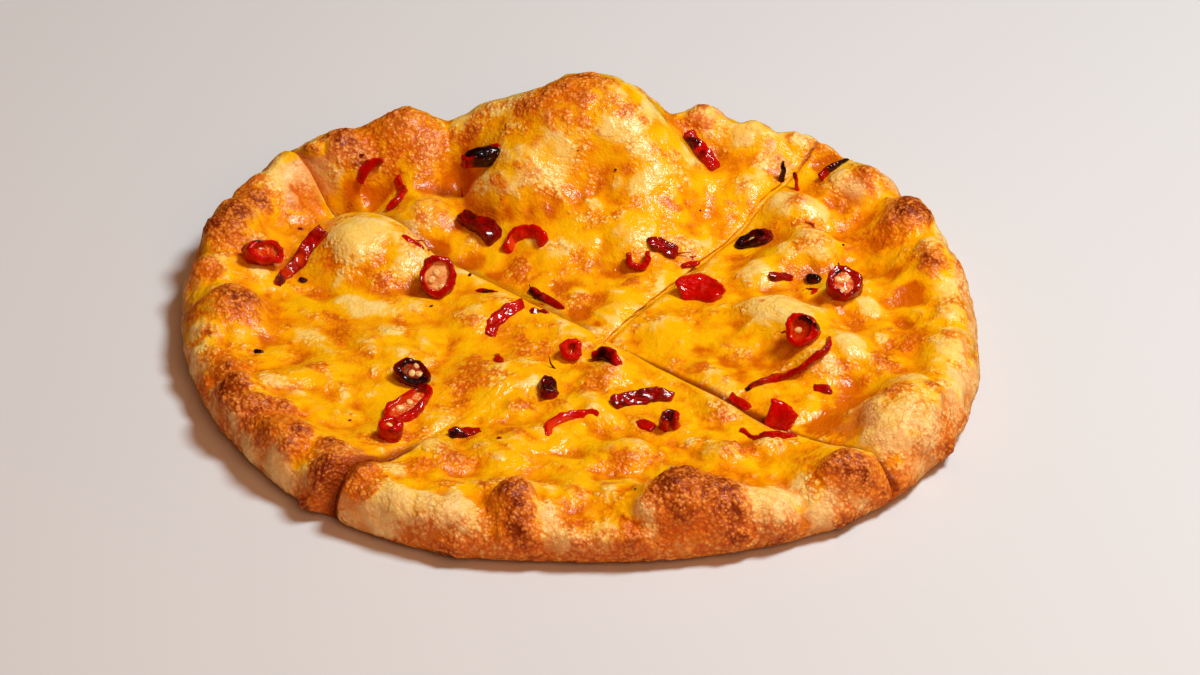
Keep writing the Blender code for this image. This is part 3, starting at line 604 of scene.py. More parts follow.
def surfaceValues(points, normals, cheese):
    # the relief at each point, and what its colours go by
    look = relief
    masks = bakeMasks(points)
    broadSize, broadShare, raggedSize, raggedShare = look["cheeseRagged"]
    broad = softNoise(points, broadSize, 3.0)
    ragged = broadShare * broad + raggedShare * softNoise(points, raggedSize, 9.0)
    cheese = np.clip(cheese + ragged * (cheese > 0.001) * (cheese < 0.999), 0.0, 1.0)
    upward = normals[:, 2]
    rough = look["spreadRough"]
    spread = upward + rough * broad + rough * softNoise(points, look["spreadSize"], 2.0)
    spread = smoothStep(*look["spreadSlope"], spread)
    melt = np.maximum(cheese, look["spreadShare"] * spread * (1.0 - look["paleShare"] * masks["pale"]))
    calm = 1.0 - look["poolCalm"] * masks["pool"] - look["amberCalm"] * masks["amber"]
    calm = np.clip(calm, 0.0, 1.0)
    browned = masks["brown"]
    knobs = bubbles(points, look["knobSize"])
    small = bubbles(points, look["bubbleSize"], 4.0)
    side = look["sideFade"] + (1.0 - look["sideFade"]) * smoothStep(0.0, look["topSlope"][1], upward)
    lively = 1.0 - look["smoothShare"] * masks["smooth"]
    puffs = np.abs(softNoise(points, look["puffSize"], 1.0)) * lively + look["smoothPuff"] * masks["smooth"]
    push = look["puffHeight"] * puffs * side
    push += look["swellHeight"] * np.abs(softNoise(points, look["swellSize"], 5.0)) * side * lively
    push += look["lumpHeight"] * np.abs(softNoise(points, look["lumpSize"], 8.0)) * calm * lively
    push += look["wrinkleHeight"] * np.abs(softNoise(points, look["wrinkleSize"], 7.0)) * calm
    push += look["knobHeight"] * knobs * browned
    blistered = look["bareBlisters"] * (1.0 - melt) + browned + look["goldenBlisters"] * masks["golden"]
    blistered = np.clip(blistered, 0.0, 1.0)
    push += look["bubbleHeight"] * small * blistered * calm
    for kind, height in look["rise"].items():
        push += height * domes(points, kind) * (look["riseShare"][0] + look["riseShare"][1] * lively)
    foot = 1.0 - smoothStep(*look["footReach"], points[:, 2] + look["footRough"] * broad)
    masks["brown"] = np.clip(browned + look["footBrown"] * foot * (1.0 - cheese), 0.0, 1.0)
    masks["cheese"] = cheese
    masks["melt"] = melt
    masks["bead"] = np.clip(look["beadGain"] * small * blistered, 0.0, 1.0)
    fade = smoothStep(*look["footFade"], points[:, 2])
    return (push + look["level"]) * fade, masks


def hollowness(item, free):
    # how far each point lies below the smoothed surface round it, from -1 on crests to 1 in hollows
    points = readPoints(item)
    normals = readNormals(item)
    ends = np.empty(len(item.data.edges) * 2, dtype=np.int32)
    item.data.edges.foreach_get("vertices", ends)
    first, second = ends[0::2], ends[1::2]
    total = len(points)
    neighbours = np.bincount(first, minlength=total) + np.bincount(second, minlength=total)
    soft = points.copy()
    hollow = np.zeros(total)
    done = 0
    for rounds, depth in zip(relief["hollowRounds"], relief["hollowDepth"]):
        for _ in range(rounds - done):
            for axis in range(3):
                gathered = np.bincount(first, soft[second, axis], total)
                gathered += np.bincount(second, soft[first, axis], total)
                soft[:, axis] = gathered / neighbours
        done = rounds
        hollow += 0.5 * np.clip(((soft - points) * normals).sum(axis=1) / depth, -1.0, 1.0)
    for _ in range(relief["hollowSoftening"]):
        around = np.bincount(first, hollow[second], total) + np.bincount(second, hollow[first], total)
        hollow = around / neighbours
    return hollow * free


def pushLoaf(sliceName):
    loaf = loaves[sliceName]
    points = readPoints(loaf)
    normals = readNormals(loaf)
    push, masks = surfaceValues(points, normals, readValue(loaf, "cheese"))
    top = smoothStep(*relief["topSlope"], normals[:, 2])
    # the cuts' edges: oil stain and painted shade along each gap, and the notch painted dark as shade
    masks["stainAndShade"] = besideCut(points, sliceName, "stainAndShade", cuts["stainAndShadeReach"]) * top
    masks["line"] = besideCut(points, sliceName, "stainAndShade", cuts["lineReach"]) * top
    for kind in ("farShade", "nearShade"):
        masks["line"] += besideCut(points, sliceName, kind, cuts[kind + "Reach"]) * top
    notch = notchShare(points)
    masks["stainAndShade"] += notch
    masks["line"] += cuts["notchShade"] * notch * notch
    storeValues(loaf, masks)
    # beside a cut both slices move straight up and down, so that their edges still meet
    free = smoothStep(*relief["cutFade"], nearestCut(points))
    upright = np.zeros_like(normals)
    upright[:, 2] = relief["cutShare"] * np.maximum(top, free)
    raised = besideCut(points, sliceName, "lift", cuts["liftReach"])
    points = points + (normals * free[:, None] + upright * (1.0 - free[:, None])) * push[:, None]
    points[:, 2] += raised * smoothStep(*cuts["raisedFrom"], points[:, 2])
    turn = math.radians(cuts["angles"][cuts["notchArm"]])
    inward = (math.cos(turn), math.sin(turn), cuts["notchDown"])
    points -= np.outer(notch * cuts["notchDepth"], inward)
    low, high = (np.array(corner) / mm for corner in cadBounds)
    for axis in range(2):
        points[:, axis] = softClamp(points[:, axis], low[axis], high[axis], relief["softLimit"])
    ceiling = high[2] - relief["cheeseLip"] - relief["headroom"]
    points[:, 2] = np.maximum(softClamp(points[:, 2], relief["below"], ceiling, relief["softLimit"]), 0.0)
    writePoints(loaf, points)
    # the hollow value: the materials paint hollows deeper and crests paler with it, partly as painted shade
    storeValue(loaf, "hollow", hollowness(loaf, smoothStep(*cuts["hollowFree"], nearestCut(points))))


for sliceName in sliceNames:
    pushLoaf(sliceName)
print("relief pushed")


def smoothFolds(film):
    # where narrow faces have folded over, the film is smoothed until it lies flat again
    points = readPoints(film)
    inner = nearestCut(points) > relief["cutFade"][0]
    steep = readNormals(film)[:, 2] < relief["foldSlope"]
    folded = np.where(inner & steep & (readValue(film, "cheese") > relief["fullCheese"]))[0]
    near = np.zeros(len(points), dtype=bool)
    for place in points[folded]:
        near |= np.linalg.norm(points - place, axis=1) < relief["foldReach"]
    group = film.vertex_groups.new(name="folded")
    group.add([int(index) for index in np.where(near & inner)[0]], 1.0, "REPLACE")
    addModifier(film, "SMOOTH", factor=0.5, iterations=relief["foldRounds"], vertex_group="folded")
    film.vertex_groups.clear()
    print("folds smoothed on", film.name, len(folded))


def splitLoaf(sliceName):
    loaf = loaves[sliceName]
    loaf.name = "bread_skin_" + sliceName
    points = readPoints(loaf)
    normals = readNormals(loaf)
    cheese = readValue(loaf, "cheese")
    edge = relief["cheeseEdge"]
    # the cheese: a film cut from the top, its edge dipping under the crust
    film = bpy.data.objects.new("cheese_film_" + sliceName, loaf.data.copy())
    bpy.context.scene.collection.objects.link(film)
    lift = relief["cheeseLip"] * smoothStep(edge, edge + relief["cheeseLipWidth"], cheese)
    lift -= relief["cheeseDip"] * np.clip(edge - cheese, 0.0, 1.0)
    writePoints(film, points + normals * lift[:, None])
    pick(film)
    bpy.ops.object.mode_set(mode="EDIT")
    bpy.ops.mesh.select_mode(type="VERT")
    shape = bmesh.from_edit_mesh(film.data)
    shape.verts.ensure_lookup_table()
    least = relief["filmLeast"]
    outside = (cheese < least["cheese"]) | (normals[:, 2] < least["slope"]) | (points[:, 2] < least["height"])
    for index, vertex in enumerate(shape.verts):
        vertex.select = bool(outside[index])
    shape.select_flush_mode()
    bmesh.update_edit_mesh(film.data)
    bpy.ops.mesh.delete(type="VERT")
    bpy.ops.object.mode_set(mode="OBJECT")
    smoothFolds(film)
    addModifier(film, "SOLIDIFY", thickness=relief["cheeseFilm"] * mm, offset=-1.0)
    # the bread under it sinks by the cheese's thickness
    top = smoothStep(*relief["dropSlope"], normals[:, 2])
    sink = relief["breadDrop"] * np.clip((cheese - edge) / (1.0 - edge), 0.0, 1.0) * top
    points[:, 2] -= sink
    writePoints(loaf, points)
    for piece, slotName in ((loaf, "crust"), (film, "cheese")):
        pick(piece)
        bpy.ops.object.shade_smooth()
        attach(piece, "root")
    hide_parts("bread_" + sliceName)
    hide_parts("cheese_" + sliceName)
    return loaf, film


breadPieces = []
cheesePieces = []
for sliceName in sliceNames:
    bread, film = splitLoaf(sliceName)
    breadPieces.append(bread)
    cheesePieces.append(film)
print("bread and cheese:", [len(piece.data.polygons) for piece in breadPieces + cheesePieces])


# ---- materials: one class carries a socket through arithmetic, one method makes every node


class Wire:
    def __init__(self, sheet, socket):
        self.sheet = sheet
        self.socket = socket

    def maths(self, operation, first, second, clamp=False):
        settings = {"operation": operation, "use_clamp": clamp}
        return self.sheet.node("ShaderNodeMath", settings, {0: first, 1: second})

    def __add__(self, other):
        return self.maths("ADD", self, other)

    def __radd__(self, other):
        return self.maths("ADD", other, self)

    def __sub__(self, other):
        return self.maths("SUBTRACT", self, other)

    def __rsub__(self, other):
        return self.maths("SUBTRACT", other, self)

    def __mul__(self, other):
        return self.maths("MULTIPLY", self, other)

    def clipped(self):
        return self.maths("ADD", self, 0.0, clamp=True)

    def ranged(self, low, high):
        values = {0: self, 1: low, 2: high}
        return self.sheet.node("ShaderNodeMapRange", {"interpolation_type": "SMOOTHSTEP"}, values)


class Sheet:
    def __init__(self, name):
        self.material = bpy.data.materials.new(name)
        self.material.use_nodes = True
        self.tree = self.material.node_tree
        self.tree.nodes.clear()

    def node(self, kind, settings=None, inputs=None, output=0):
        made = self.tree.nodes.new(kind)
        for key, value in (settings or {}).items():
            setattr(made, key, value)
        for key, value in (inputs or {}).items():
            if isinstance(value, Wire):
                self.tree.links.new(value.socket, made.inputs[key])
            else:
                made.inputs[key].default_value = value
        return Wire(self, made.outputs[output]) if made.outputs else None

    def value(self, name):
        return self.node("ShaderNodeAttribute", {"attribute_name": name}, output=2)

    def place(self):
        return self.node("ShaderNodeTexCoord", output=3)

    def cloud(self, size, detail, roughness, distortion=0.0):
        inputs = {"Vector": self.place(), "Scale": 1.0 / (size * mm), "Detail": detail,
                  "Roughness": roughness, "Distortion": distortion}
        return self.node("ShaderNodeTexNoise", {}, inputs)

    def cells(self, size, feature="SMOOTH_F1", smoothness=0.4, warp=0.0):
        place = self.place()
        if warp:
            stirring = {"Vector": place, "Scale": 1.0 / (size * mm)}
            stirred = self.node("ShaderNodeTexNoise", {}, stirring, output=1)
            scaled = {0: stirred, 1: (warp * mm, warp * mm, warp * mm), 2: place}
            place = self.node("ShaderNodeVectorMath", {"operation": "MULTIPLY_ADD"}, scaled)
        inputs = {"Vector": place, "Scale": 1.0 / (size * mm)}
        if feature == "SMOOTH_F1":
            inputs["Smoothness"] = smoothness
        return self.node("ShaderNodeTexVoronoi", {"feature": feature}, inputs)

    def mixed(self, first, second, factor):
        inputs = {0: factor, 6: first, 7: second}
        return self.node("ShaderNodeMix", {"data_type": "RGBA"}, inputs, output=2)

    def bumped(self, height, distance, strength):
        inputs = {"Strength": strength, "Distance": distance * mm, "Height": height}
        return self.node("ShaderNodeBump", {}, inputs)

    def finish(self, inputs):
        shader = self.node("ShaderNodeBsdfPrincipled", {}, inputs)
        self.node("ShaderNodeOutputMaterial", {}, {"Surface": shader})
        return self.material


def fromScreen(red, green, blue):
    # a colour as a screen shows it, 0 to 255, made linear and opaque
    return tuple((value / 255.0) ** 2.2 for value in (red, green, blue)) + (1,)


def steady(look):
    # the shader's constants, from a dictionary of a finish
    return {
        "Specular IOR Level": look["specular"],
        "Coat Weight": look["coat"],
        "Coat Roughness": look["coatRoughness"],
        "Subsurface Weight": look["glow"],
        "Subsurface Radius": look["glowColour"],
        "Subsurface Scale": look["glowDepth"] * mm,
    }


def blend(parts, recipe):
    # a weighted sum of named parts, stretched over a range where the recipe gives one
    total = sum(parts[key] * weight for key, weight in recipe.items() if key != "over")
    return total.ranged(*recipe["over"]) if "over" in recipe else total


# colours as a screen shows them: the deeper glaze, the amber and the lower dough colour also darken the
# hollows as painted shade, and the last colour is the painted dark of the cuts' gaps
bakedLook = {
    "glaze": ((255, 186, 14), (246, 146, 4)),
    "amber": ((238, 138, 10), (206, 94, 0)),
    "curd": ((254, 200, 70), (255, 228, 148)),
    "dough": ((220, 122, 38), (254, 208, 132)),
    "toast": ((246, 146, 24), (210, 90, 10)),
    "brown": ((238, 146, 58), (200, 92, 28), (120, 40, 10)),
    "vein": ((228, 126, 22),),
    "stainAndShade": ((124, 44, 0),),
}
# how strongly each colour covers those before it
bakedCover = {"amber": 0.9, "curd": 0.9, "toast": 0.85, "brown": 0.95, "stainAndShade": 0.75, "line": 0.85}
bakedFinish = {
    "painted": ("brown", "golden", "pale", "pool", "amber", "melt", "hollow", "bead", "stainAndShade", "line"),
    # textures round 0: size, detail and roughness
    "clouds": {
        "patches": (9.0, 2.0, 0.5),
        "mottle": (3.4, 4.0, 0.55),
        "grain": (1.3, 2.0, 0.5),
        "speck": (0.7, 1.0, 0.5),
    },
    # round beads: size, smoothness, warp, and where they start and are full
    "beads": {"beads": (1.9, 0.2, 0.9, 0.35, 0.80), "fine": (1.1, 0.25, 0.5, 0.35, 0.85)},
    "curdCloud": (6.0, 3.0, 0.6, 0.6),
    "curdWidth": (0.46, 0.64),
    "veinSize": 3.0,
    "veinWarp": 1.6,
    "veinWidth": (0.01, 0.07),
    "crustRoughness": 0.36,
    "cheeseRoughness": 0.19,
    "coat": 0.04,
    "coatRoughness": 0.08,
    "relief": 0.5,
    "reliefStrength": 0.9,
    "glow": 0.12,
    "glowColour": (1.0, 0.40, 0.10),
    "glowDepth": 2.0,
}
# what each blend is made of, with the weight of each part, and the range that it is stretched over
bakedBlends = {
    # where the surface has curdled into beads, and the grit that this makes
    "curdled": {"patches": 2.4, "mottle": 1.2, "golden": 0.6, "brown": 0.9, "pool": -0.5, "amber": -0.15,
                "melt": -0.15, "always": 0.34, "over": (0.05, 0.75)},
    "beadGrit": {"beads": 0.5, "fine": 0.7, "always": -0.60},
    "grainGrit": {"grain": 0.6, "speck": 0.4},
    "grainShare": {"curdled": 0.8, "always": 0.2},
    # cheese: yellow glaze, turning deeper orange and amber in the hollows, partly fat gathered there and
    # partly painted shade, and cream curds on the crests
    "glaze": {"patches": 2.2, "mottle": 1.3, "grit": -0.6, "hollow": 0.6, "golden": 0.4, "pool": -0.6,
              "curds": -0.3, "always": 0.45},
    "oilAndShade": {"amber": 0.9, "hollow": 0.7, "mottle": 0.9, "patches": 0.9, "grit": -0.5, "over": (0.06, 1.05)},
    "creamy": {"pale": 0.9, "curds": 0.26, "hollow": -0.7, "patches": 0.8, "mottle": 1.1, "grit": 0.7,
               "pool": -0.40, "amber": -0.4, "golden": -0.15, "brown": -0.2, "always": -0.16,
               "over": (0.05, 0.70)},
    "curd": {"creamy": 0.5, "curds": 0.35, "grit": 1.1, "mottle": 0.6, "always": -0.05},
    # bare dough, darker in the hollows as painted shade, and how far the cheese covers it
    "dough": {"pale": 0.6, "mottle": 1.4, "grit": 0.7, "curds": 0.2, "hollow": -0.5, "patches": 1.0,
              "golden": -0.3, "always": 0.22},
    "covered": {"melt": 1.0, "mottle": 0.7, "over": (0.25, 0.75)},
    "veined": {"pale": 0.3, "golden": 0.35},
    # toasted, then browned, darkest between the beads, where the dark is partly painted shade
    "toast": {"golden": 0.4, "brown": 0.6, "mottle": 1.5, "grit": -0.9, "always": 0.15},
    "toasted": {"golden": 0.8, "brown": 0.7, "mottle": 1.4, "grit": -0.3, "patches": 0.9, "hollow": -0.2,
                "pale": -0.4, "melt": 0.06, "over": (0.15, 0.80)},
    "crust": {"brown": 0.9, "mottle": 1.2, "grit": -1.0, "bead": -0.3, "always": -0.14},
    "darkest": {"brown": 1.0, "mottle": 1.7, "grit": -0.9, "hollow": -0.3, "bead": -0.2, "always": -0.85},
    "browned": {"brown": 0.95, "mottle": 1.1, "grain": 0.4, "hollow": -0.2, "over": (0.26, 1.05)},
    "stainedAndShaded": {"stainAndShade": 1.0, "mottle": 0.5, "over": (0.25, 1.1)},
    # gloss and fine relief
    "dulling": {"curdled": 0.10, "grain": 0.2, "mottle": 0.15},
    "coarse": {"curdled": 0.5, "brown": 0.4},
    "beadRelief": {"beads": 0.7, "fine": 0.55},
    "broadRelief": {"mottle": 1.1, "curds": 0.25},
    "grainRelief": {"coarse": 0.4, "always": 0.42},
    "speckRelief": {"coarse": 0.3, "always": 0.24},
}


def bakedMaterial(name, specular):
    sheet = Sheet(name)
    shades = {key: [fromScreen(*colour) for colour in colours] for key, colours in bakedLook.items()}
    look, cover, recipes = bakedFinish, bakedCover, bakedBlends
    parts = {key: sheet.value(key) for key in look["painted"]}
    parts["always"] = 1.0
    for key, settings in look["clouds"].items():
        parts[key] = sheet.cloud(*settings) - 0.5
    for key, (size, smoothness, warp, *width) in look["beads"].items():
        parts[key] = (1.0 - sheet.cells(size, smoothness=smoothness, warp=warp)).ranged(*width)
    parts["curds"] = sheet.cloud(*look["curdCloud"]).ranged(*look["curdWidth"])
    parts["curdled"] = blend(parts, recipes["curdled"])
    # grit follows the beads' relief; the colours below are paler on its tops and darker in its gaps, partly
    # the curds' own colour and partly painted shade
    parts["grit"] = blend(parts, recipes["beadGrit"]) * parts["curdled"]
    parts["grit"] += blend(parts, recipes["grainGrit"]) * blend(parts, recipes["grainShare"])
    oilAndShade = blend(parts, recipes["oilAndShade"])
    glaze = sheet.mixed(*shades["glaze"], blend(parts, recipes["glaze"]).clipped())
    glaze = sheet.mixed(glaze, sheet.mixed(*shades["amber"], oilAndShade), oilAndShade * cover["amber"])
    parts["creamy"] = blend(parts, recipes["creamy"])
    curd = sheet.mixed(*shades["curd"], blend(parts, recipes["curd"]).clipped())
    cheesy = sheet.mixed(glaze, curd, parts["creamy"] * cover["curd"])
    dough = sheet.mixed(*shades["dough"], blend(parts, recipes["dough"]).clipped())
    colour = sheet.mixed(dough, cheesy, blend(parts, recipes["covered"]))
    veins = sheet.cells(look["veinSize"], "DISTANCE_TO_EDGE", warp=look["veinWarp"])
    veins = (1.0 - veins.ranged(*look["veinWidth"])) * blend(parts, recipes["veined"])
    colour = sheet.mixed(colour, shades["vein"][0], veins.clipped())
    toast = sheet.mixed(*shades["toast"], blend(parts, recipes["toast"]).clipped())
    colour = sheet.mixed(colour, toast, blend(parts, recipes["toasted"]) * cover["toast"])
    light, middle, dark = shades["brown"]
    crust = sheet.mixed(light, middle, blend(parts, recipes["crust"]).clipped())
    crust = sheet.mixed(crust, dark, blend(parts, recipes["darkest"]).clipped())
    colour = sheet.mixed(colour, crust, blend(parts, recipes["browned"]) * cover["brown"])
    colour = sheet.mixed(colour, shades["amber"][1], blend(parts, recipes["stainedAndShaded"]) * cover["stainAndShade"])
    colour = sheet.mixed(colour, shades["stainAndShade"][0], (parts["line"] * cover["line"]).clipped())
    shine = look["crustRoughness"] + parts["melt"] * (look["cheeseRoughness"] - look["crustRoughness"])
    parts["coarse"] = blend(parts, recipes["coarse"]).clipped()
    height = blend(parts, recipes["beadRelief"]) * parts["coarse"] + blend(parts, recipes["broadRelief"])
    for key in ("grain", "speck"):
        height += parts[key] * blend(parts, recipes[key + "Relief"])
    return sheet.finish({
        **steady(look | {"specular": specular}),
        "Base Color": colour,
        "Roughness": (shine + blend(parts, recipes["dulling"])).clipped(),
        "Normal": sheet.bumped(height, look["relief"], look["reliefStrength"]),
    })


bakedSpecular = {"baked_crust": 0.20, "melted_cheese": 0.34}
crustMaterial, cheeseMaterial = (bakedMaterial(name, amount) for name, amount in bakedSpecular.items())
for bread, film in zip(breadPieces, cheesePieces):
    bread.data.materials.append(crustMaterial)
    film.data.materials.append(cheeseMaterial)
print("bread and cheese finished")


# ---- seam: the lower left cut has melted shut again, as far as the rim

seamLook = {
    "arm": "nearLeft",
    "from": 2.0,
    "to": 68.0,
    "faces": (150, 12),  # along and across
    "halfWidth": 2.3,
    "ragged": 0.8,
    "raggedSize": 3.0,
    "gap": 0.7,
    "crown": 0.14,
    "dip": 0.30,
    "ends": (0.85, 1.15),  # where the cheese starts to thin out towards each end, and how fast
    "film": 0.8,
}

dressedTree = surfaceTree(breadPieces + cheesePieces)


def topAt(x, y):
    hit = dressedTree.ray_cast(Vector((x, y, 100.0)), Vector((0, 0, -1)))[0]
    return hit.z if hit else 0.0


def makeSeam():
    look = seamLook
    deselectAll()
    lengthwise, crosswise = look["faces"]
    calm, steepness = look["ends"]
    bpy.ops.mesh.primitive_grid_add(x_subdivisions=lengthwise, y_subdivisions=crosswise, size=2 * mm)
    seam = bpy.context.object
    seam.name = "melted_seam"
    points = readPoints(seam)
    turn = math.radians(cuts["angles"][look["arm"]])
    startX, startY = cuts["crossing"]
    for index, (u, v, _) in enumerate(points.copy()):
        along = look["from"] + (look["to"] - look["from"]) * (u + 1.0) / 2.0
        half = look["halfWidth"] + look["ragged"] * noise.noise(Vector((along / look["raggedSize"], v, 5.0)))
        across = v * half
        middleX = startX + along * math.cos(turn)
        middleY = startY + along * math.sin(turn)
        reach = max(abs(across), look["gap"])
        left, right = (topAt(middleX - side * math.sin(turn), middleY + side * math.cos(turn))
                       for side in (-reach, reach))
        share = 0.5 + 0.5 * across / reach
        end = max(0.0, abs(u) * steepness - calm) / (steepness - calm)
        height = left * (1.0 - share) + right * share
        height += look["crown"] - look["dip"] * max(v * v, end * end) ** 2
        points[index] = (middleX - across * math.sin(turn), middleY + across * math.cos(turn), height)
    writePoints(seam, points)
    _, masks = surfaceValues(points, readNormals(seam), np.ones(len(points)))
    masks.update({"stainAndShade": 0.0, "line": 0.0, "hollow": 0.0})
    storeValues(seam, masks)
    addModifier(seam, "SOLIDIFY", thickness=look["film"] * mm, offset=-1.0)
    bpy.ops.object.shade_smooth()
    seam.data.materials.append(cheeseMaterial)
    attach(seam, "root")


makeSeam()
print("lower left cut melted shut")


# ---- chilli: each solid again, sunk into the cheese, rounded and wrinkled

chilliLook = {
    "voxel": 0.34,
    "smoothing": 2,
    "swell": 0.16,
    "bend": (7.0, 0.9),
    "crumple": (2.6, 0.55),
    "wrinkleSize": 0.9,
    "wrinkle": 0.20,
    "stretch": (0.35, 1.0, 1.0),
    "sink": 1.4,
    "mapSpacing": 1.0,
    "mapSoftening": 4,
    "fleshSlope": (0.0, 0.6),
    "charReach": (0.6, 1.25),
    "usualDepth": 0.3,
    "noPith": -0.6,
}
chilliColours = {
    "bright": (208, 16, 0),
    "deep": (88, 2, 0),
    "flesh": (226, 76, 10),
    "pith": (246, 176, 104),
    "black": (30, 9, 8),
}
chilliFinish = {
    "clouds": {"patches": (2.6, 3.0, 0.6, 0.5), "grain": (0.6, 3.0, 0.6, 0.8)},
    "fleshCover": 0.6,
    "relief": 0.45,
    "reliefStrength": 0.8,
    "specular": 0.06,
    "coat": 0.50,
    "coatRoughness": 0.02,
    "glow": 0.12,
    "glowColour": (1.0, 0.12, 0.05),
    "glowDepth": 1.6,
}
chilliBlends = {
    "deep": {"deep": 1.0, "patches": 1.5, "grain": 0.4},
    "flesh": {"flesh": 1.0, "grain": 1.2, "patches": 0.6},
    "pith": {"pith": 1.0, "grain": 2.0, "patches": 1.2, "over": (0.3, 0.9)},
    "black": {"char": 1.0, "patches": 1.0, "grain": 0.6, "over": (0.10, 1.10)},
    "dulling": {"always": 0.22, "grain": 0.2, "char": 0.04},
    "relief": {"patches": 1.0, "grain": 0.5},
}
seedLook = {
    "pale": (253, 216, 150),
    "golden": (238, 164, 74),
    "mottle": (0.9, 3.0, 0.6),
    "contrast": 3.0,
    "gold": 0.4,
    "roughness": 0.34,
    "roughnessSpread": 0.3,
    "relief": 0.3,
    "reliefStrength": 0.6,
    "specular": 0.35,
    "coat": 0.0,
    "coatRoughness": 0.03,
    "glow": 0.15,
    "glowColour": (1.0, 0.5, 0.2),
    "glowDepth": 1.0,
    "size": (1.15, 0.9, 0.5),
    "roughened": 0.15,
    "spiral": (0.20, 0.25, 1.5),  # the first one's place in its ring, and the steps outwards and round
    "height": 0.85,
}
# how deep the red of a piece is, where it isn't the usual one
chilliDepth = {
    "roll": 0.8, "crumple": 0.7, "lobed": 0.7, "ring_right": 0.6, "strip_rim": 0.55, "chip_middle": 0.7,
    "chip_ridge": 0.6, "curled": 0.8, "dark_seam": 0.7, "dark_front": 0.6, "tail": 0.5, "ring_tail": 0.1,
    "wedge": 0.05, "flap": 0.0, "saddle": 0.05, "pentagon": 0.1, "strip_torn": 0.6, "curl_thin": 0.1,
    "ring_seeded": 0.45, "pod": 0.8, "ring_black": 0.8, "fold_black": 0.6, "chip_dome": 0.5,
}
# where the pieces are charred black: pixel x, y, radius and strength
charSpots = (
    (484, 158, 13, 1.0), (494, 154, 10, 1.0), (411, 367, 15, 1.0), (420, 378, 8, 0.8), (783, 168, 16, 1.0),
    (814, 275, 10, 1.0), (741, 235, 12, 1.0), (757, 236, 12, 0.8), (840, 270, 6, 1.0), (806, 315, 8, 1.0),
    (818, 320, 5, 0.9), (744, 384, 9, 0.9), (760, 378, 6, 0.5), (847, 156, 12, 1.0), (836, 166, 10, 0.9),
    (603, 357, 14, 0.9), (550, 380, 8, 0.8), (545, 391, 5, 0.5), (530, 289, 6, 1.0), (538, 294, 8, 0.7),
    (456, 434, 9, 1.0), (668, 409, 9, 0.9), (258, 237, 6, 0.9), (250, 240, 5, 0.5), (691, 140, 7, 0.9),
    (701, 150, 4, 0.7), (772, 275, 5, 0.6), (545, 307, 6, 0.5), (284, 277, 6, 0.7), (391, 428, 4, 0.6),
    (645, 238, 7, 0.5), (470, 210, 6, 0.5), (432, 256, 4, 0.5), (427, 262, 4, 0.4), (625, 396, 6, 0.4),
    (487, 290, 8, 0.8), (641, 388, 5, 0.5),
)
# what fills a ring: share of its opening, share of its height, place along its axis, depth of red, char,
# pale pith and number of seeds
chilliFillings = {
    "ring_seeded": (0.80, 0.45, 0.10, -0.2, 0.0, 0.9, 3),
    "ring_black": (0.80, 0.45, 0.00, 0.6, 0.5, 0.3, 3),
    "ring_right": (0.80, 0.45, 0.10, 0.1, 0.1, 0.5, 3),
    "ring_tail": (0.72, 0.35, -0.35, 0.2, 0.0, 0.2, 1),
    "fold_rim": (0.84, 0.40, -0.10, -0.1, 0.0, 0.4, 0),
    "fold_black": (0.92, 0.55, 0.42, 1.0, 1.0, 0.0, 0),
    "pentagon": (0.80, 0.35, -0.30, 0.4, 0.0, 0.0, 0),
    "plug": (0.80, 0.45, -0.05, 0.4, 0.2, 0.0, 1),
    "pod": (0.82, 0.40, -0.15, 0.9, 0.6, 0.0, 1),
    "loop": (0.80, 0.40, -0.20, 0.1, 0.0, 0.5, 2),
    "bead": (0.90, 0.60, 0.30, 1.0, 1.0, 0.0, 0),
}
# rounds of smoothing where a piece is softer than most, its swelling, and its turn about its thin axis
chilliRounding = {
    "roll": 14, "crumple": 10, "wedge": 12, "flap": 8, "lobed": 5, "curled": 6, "charred": 5, "strip_torn": 4,
}
chilliSwelling = {
    "wedge": 0.7, "flap": 0.6, "saddle": 0.4, "chip_cut": 0.3, "strip_bubble": 0.3, "tail": 0.2,
}
chilliTurns = {"fold_black": -50.0}
threadLook = {
    "sides": 8,
    "cuts": 5,
    "taper": 0.75,
    "flatness": 0.5,
    "bend": (2.5, 0.7),
    "sunk": 0.4,
    "raised": 1.0,
}
# loose threads of chilli: pixel where it starts, pixel where it ends, width and char
chilliThreads = (
    (534, 298, 529, 284, 1.0, 1.0), (554, 369, 550, 356, 0.9, 0.7), (463, 197, 461, 187, 0.8, 0.5),
    (831, 295, 846, 301, 0.9, 0.0), (846, 290, 859, 296, 0.9, 0.2), (838, 263, 843, 268, 1.2, 1.0),
    (783, 333, 793, 329, 1.4, 0.0), (826, 327, 832, 334, 1.1, 0.2), (668, 252, 690, 253, 1.0, 0.0),
    (600, 352, 612, 363, 1.2, 1.0), (316, 247, 327, 232, 1.6, 0.0), (412, 238, 424, 241, 1.2, 0.0),
    (690, 258, 697, 254, 0.9, 0.0), (540, 304, 549, 310, 1.2, 0.3),
)
fleckShape = (1.0, 0.8, 0.4)
# tiny flecks: pixel, size and char
chilliFlecks = (
    (258, 352, 1.4, 1.0), (303, 281, 1.3, 0.8), (301, 229, 0.9, 0.3), (362, 155, 0.7, 0.8),
    (499, 438, 0.8, 0.4), (469, 275, 0.7, 0.8), (430, 306, 0.6, 0.9), (843, 245, 0.5, 0.8),
    (616, 170, 0.4, 0.9), (636, 489, 0.4, 1.0), (971, 410, 1.6, 0.1), (428, 250, 0.7, 0.6),
    (578, 150, 0.4, 0.9), (700, 210, 0.4, 0.7), (350, 420, 0.5, 0.6),
)

plainNodes = [frame["nodes"][kind + name] for kind in ("bread_", "cheese_") for name in sliceNames]
plainTree = surfaceTree(plainNodes)


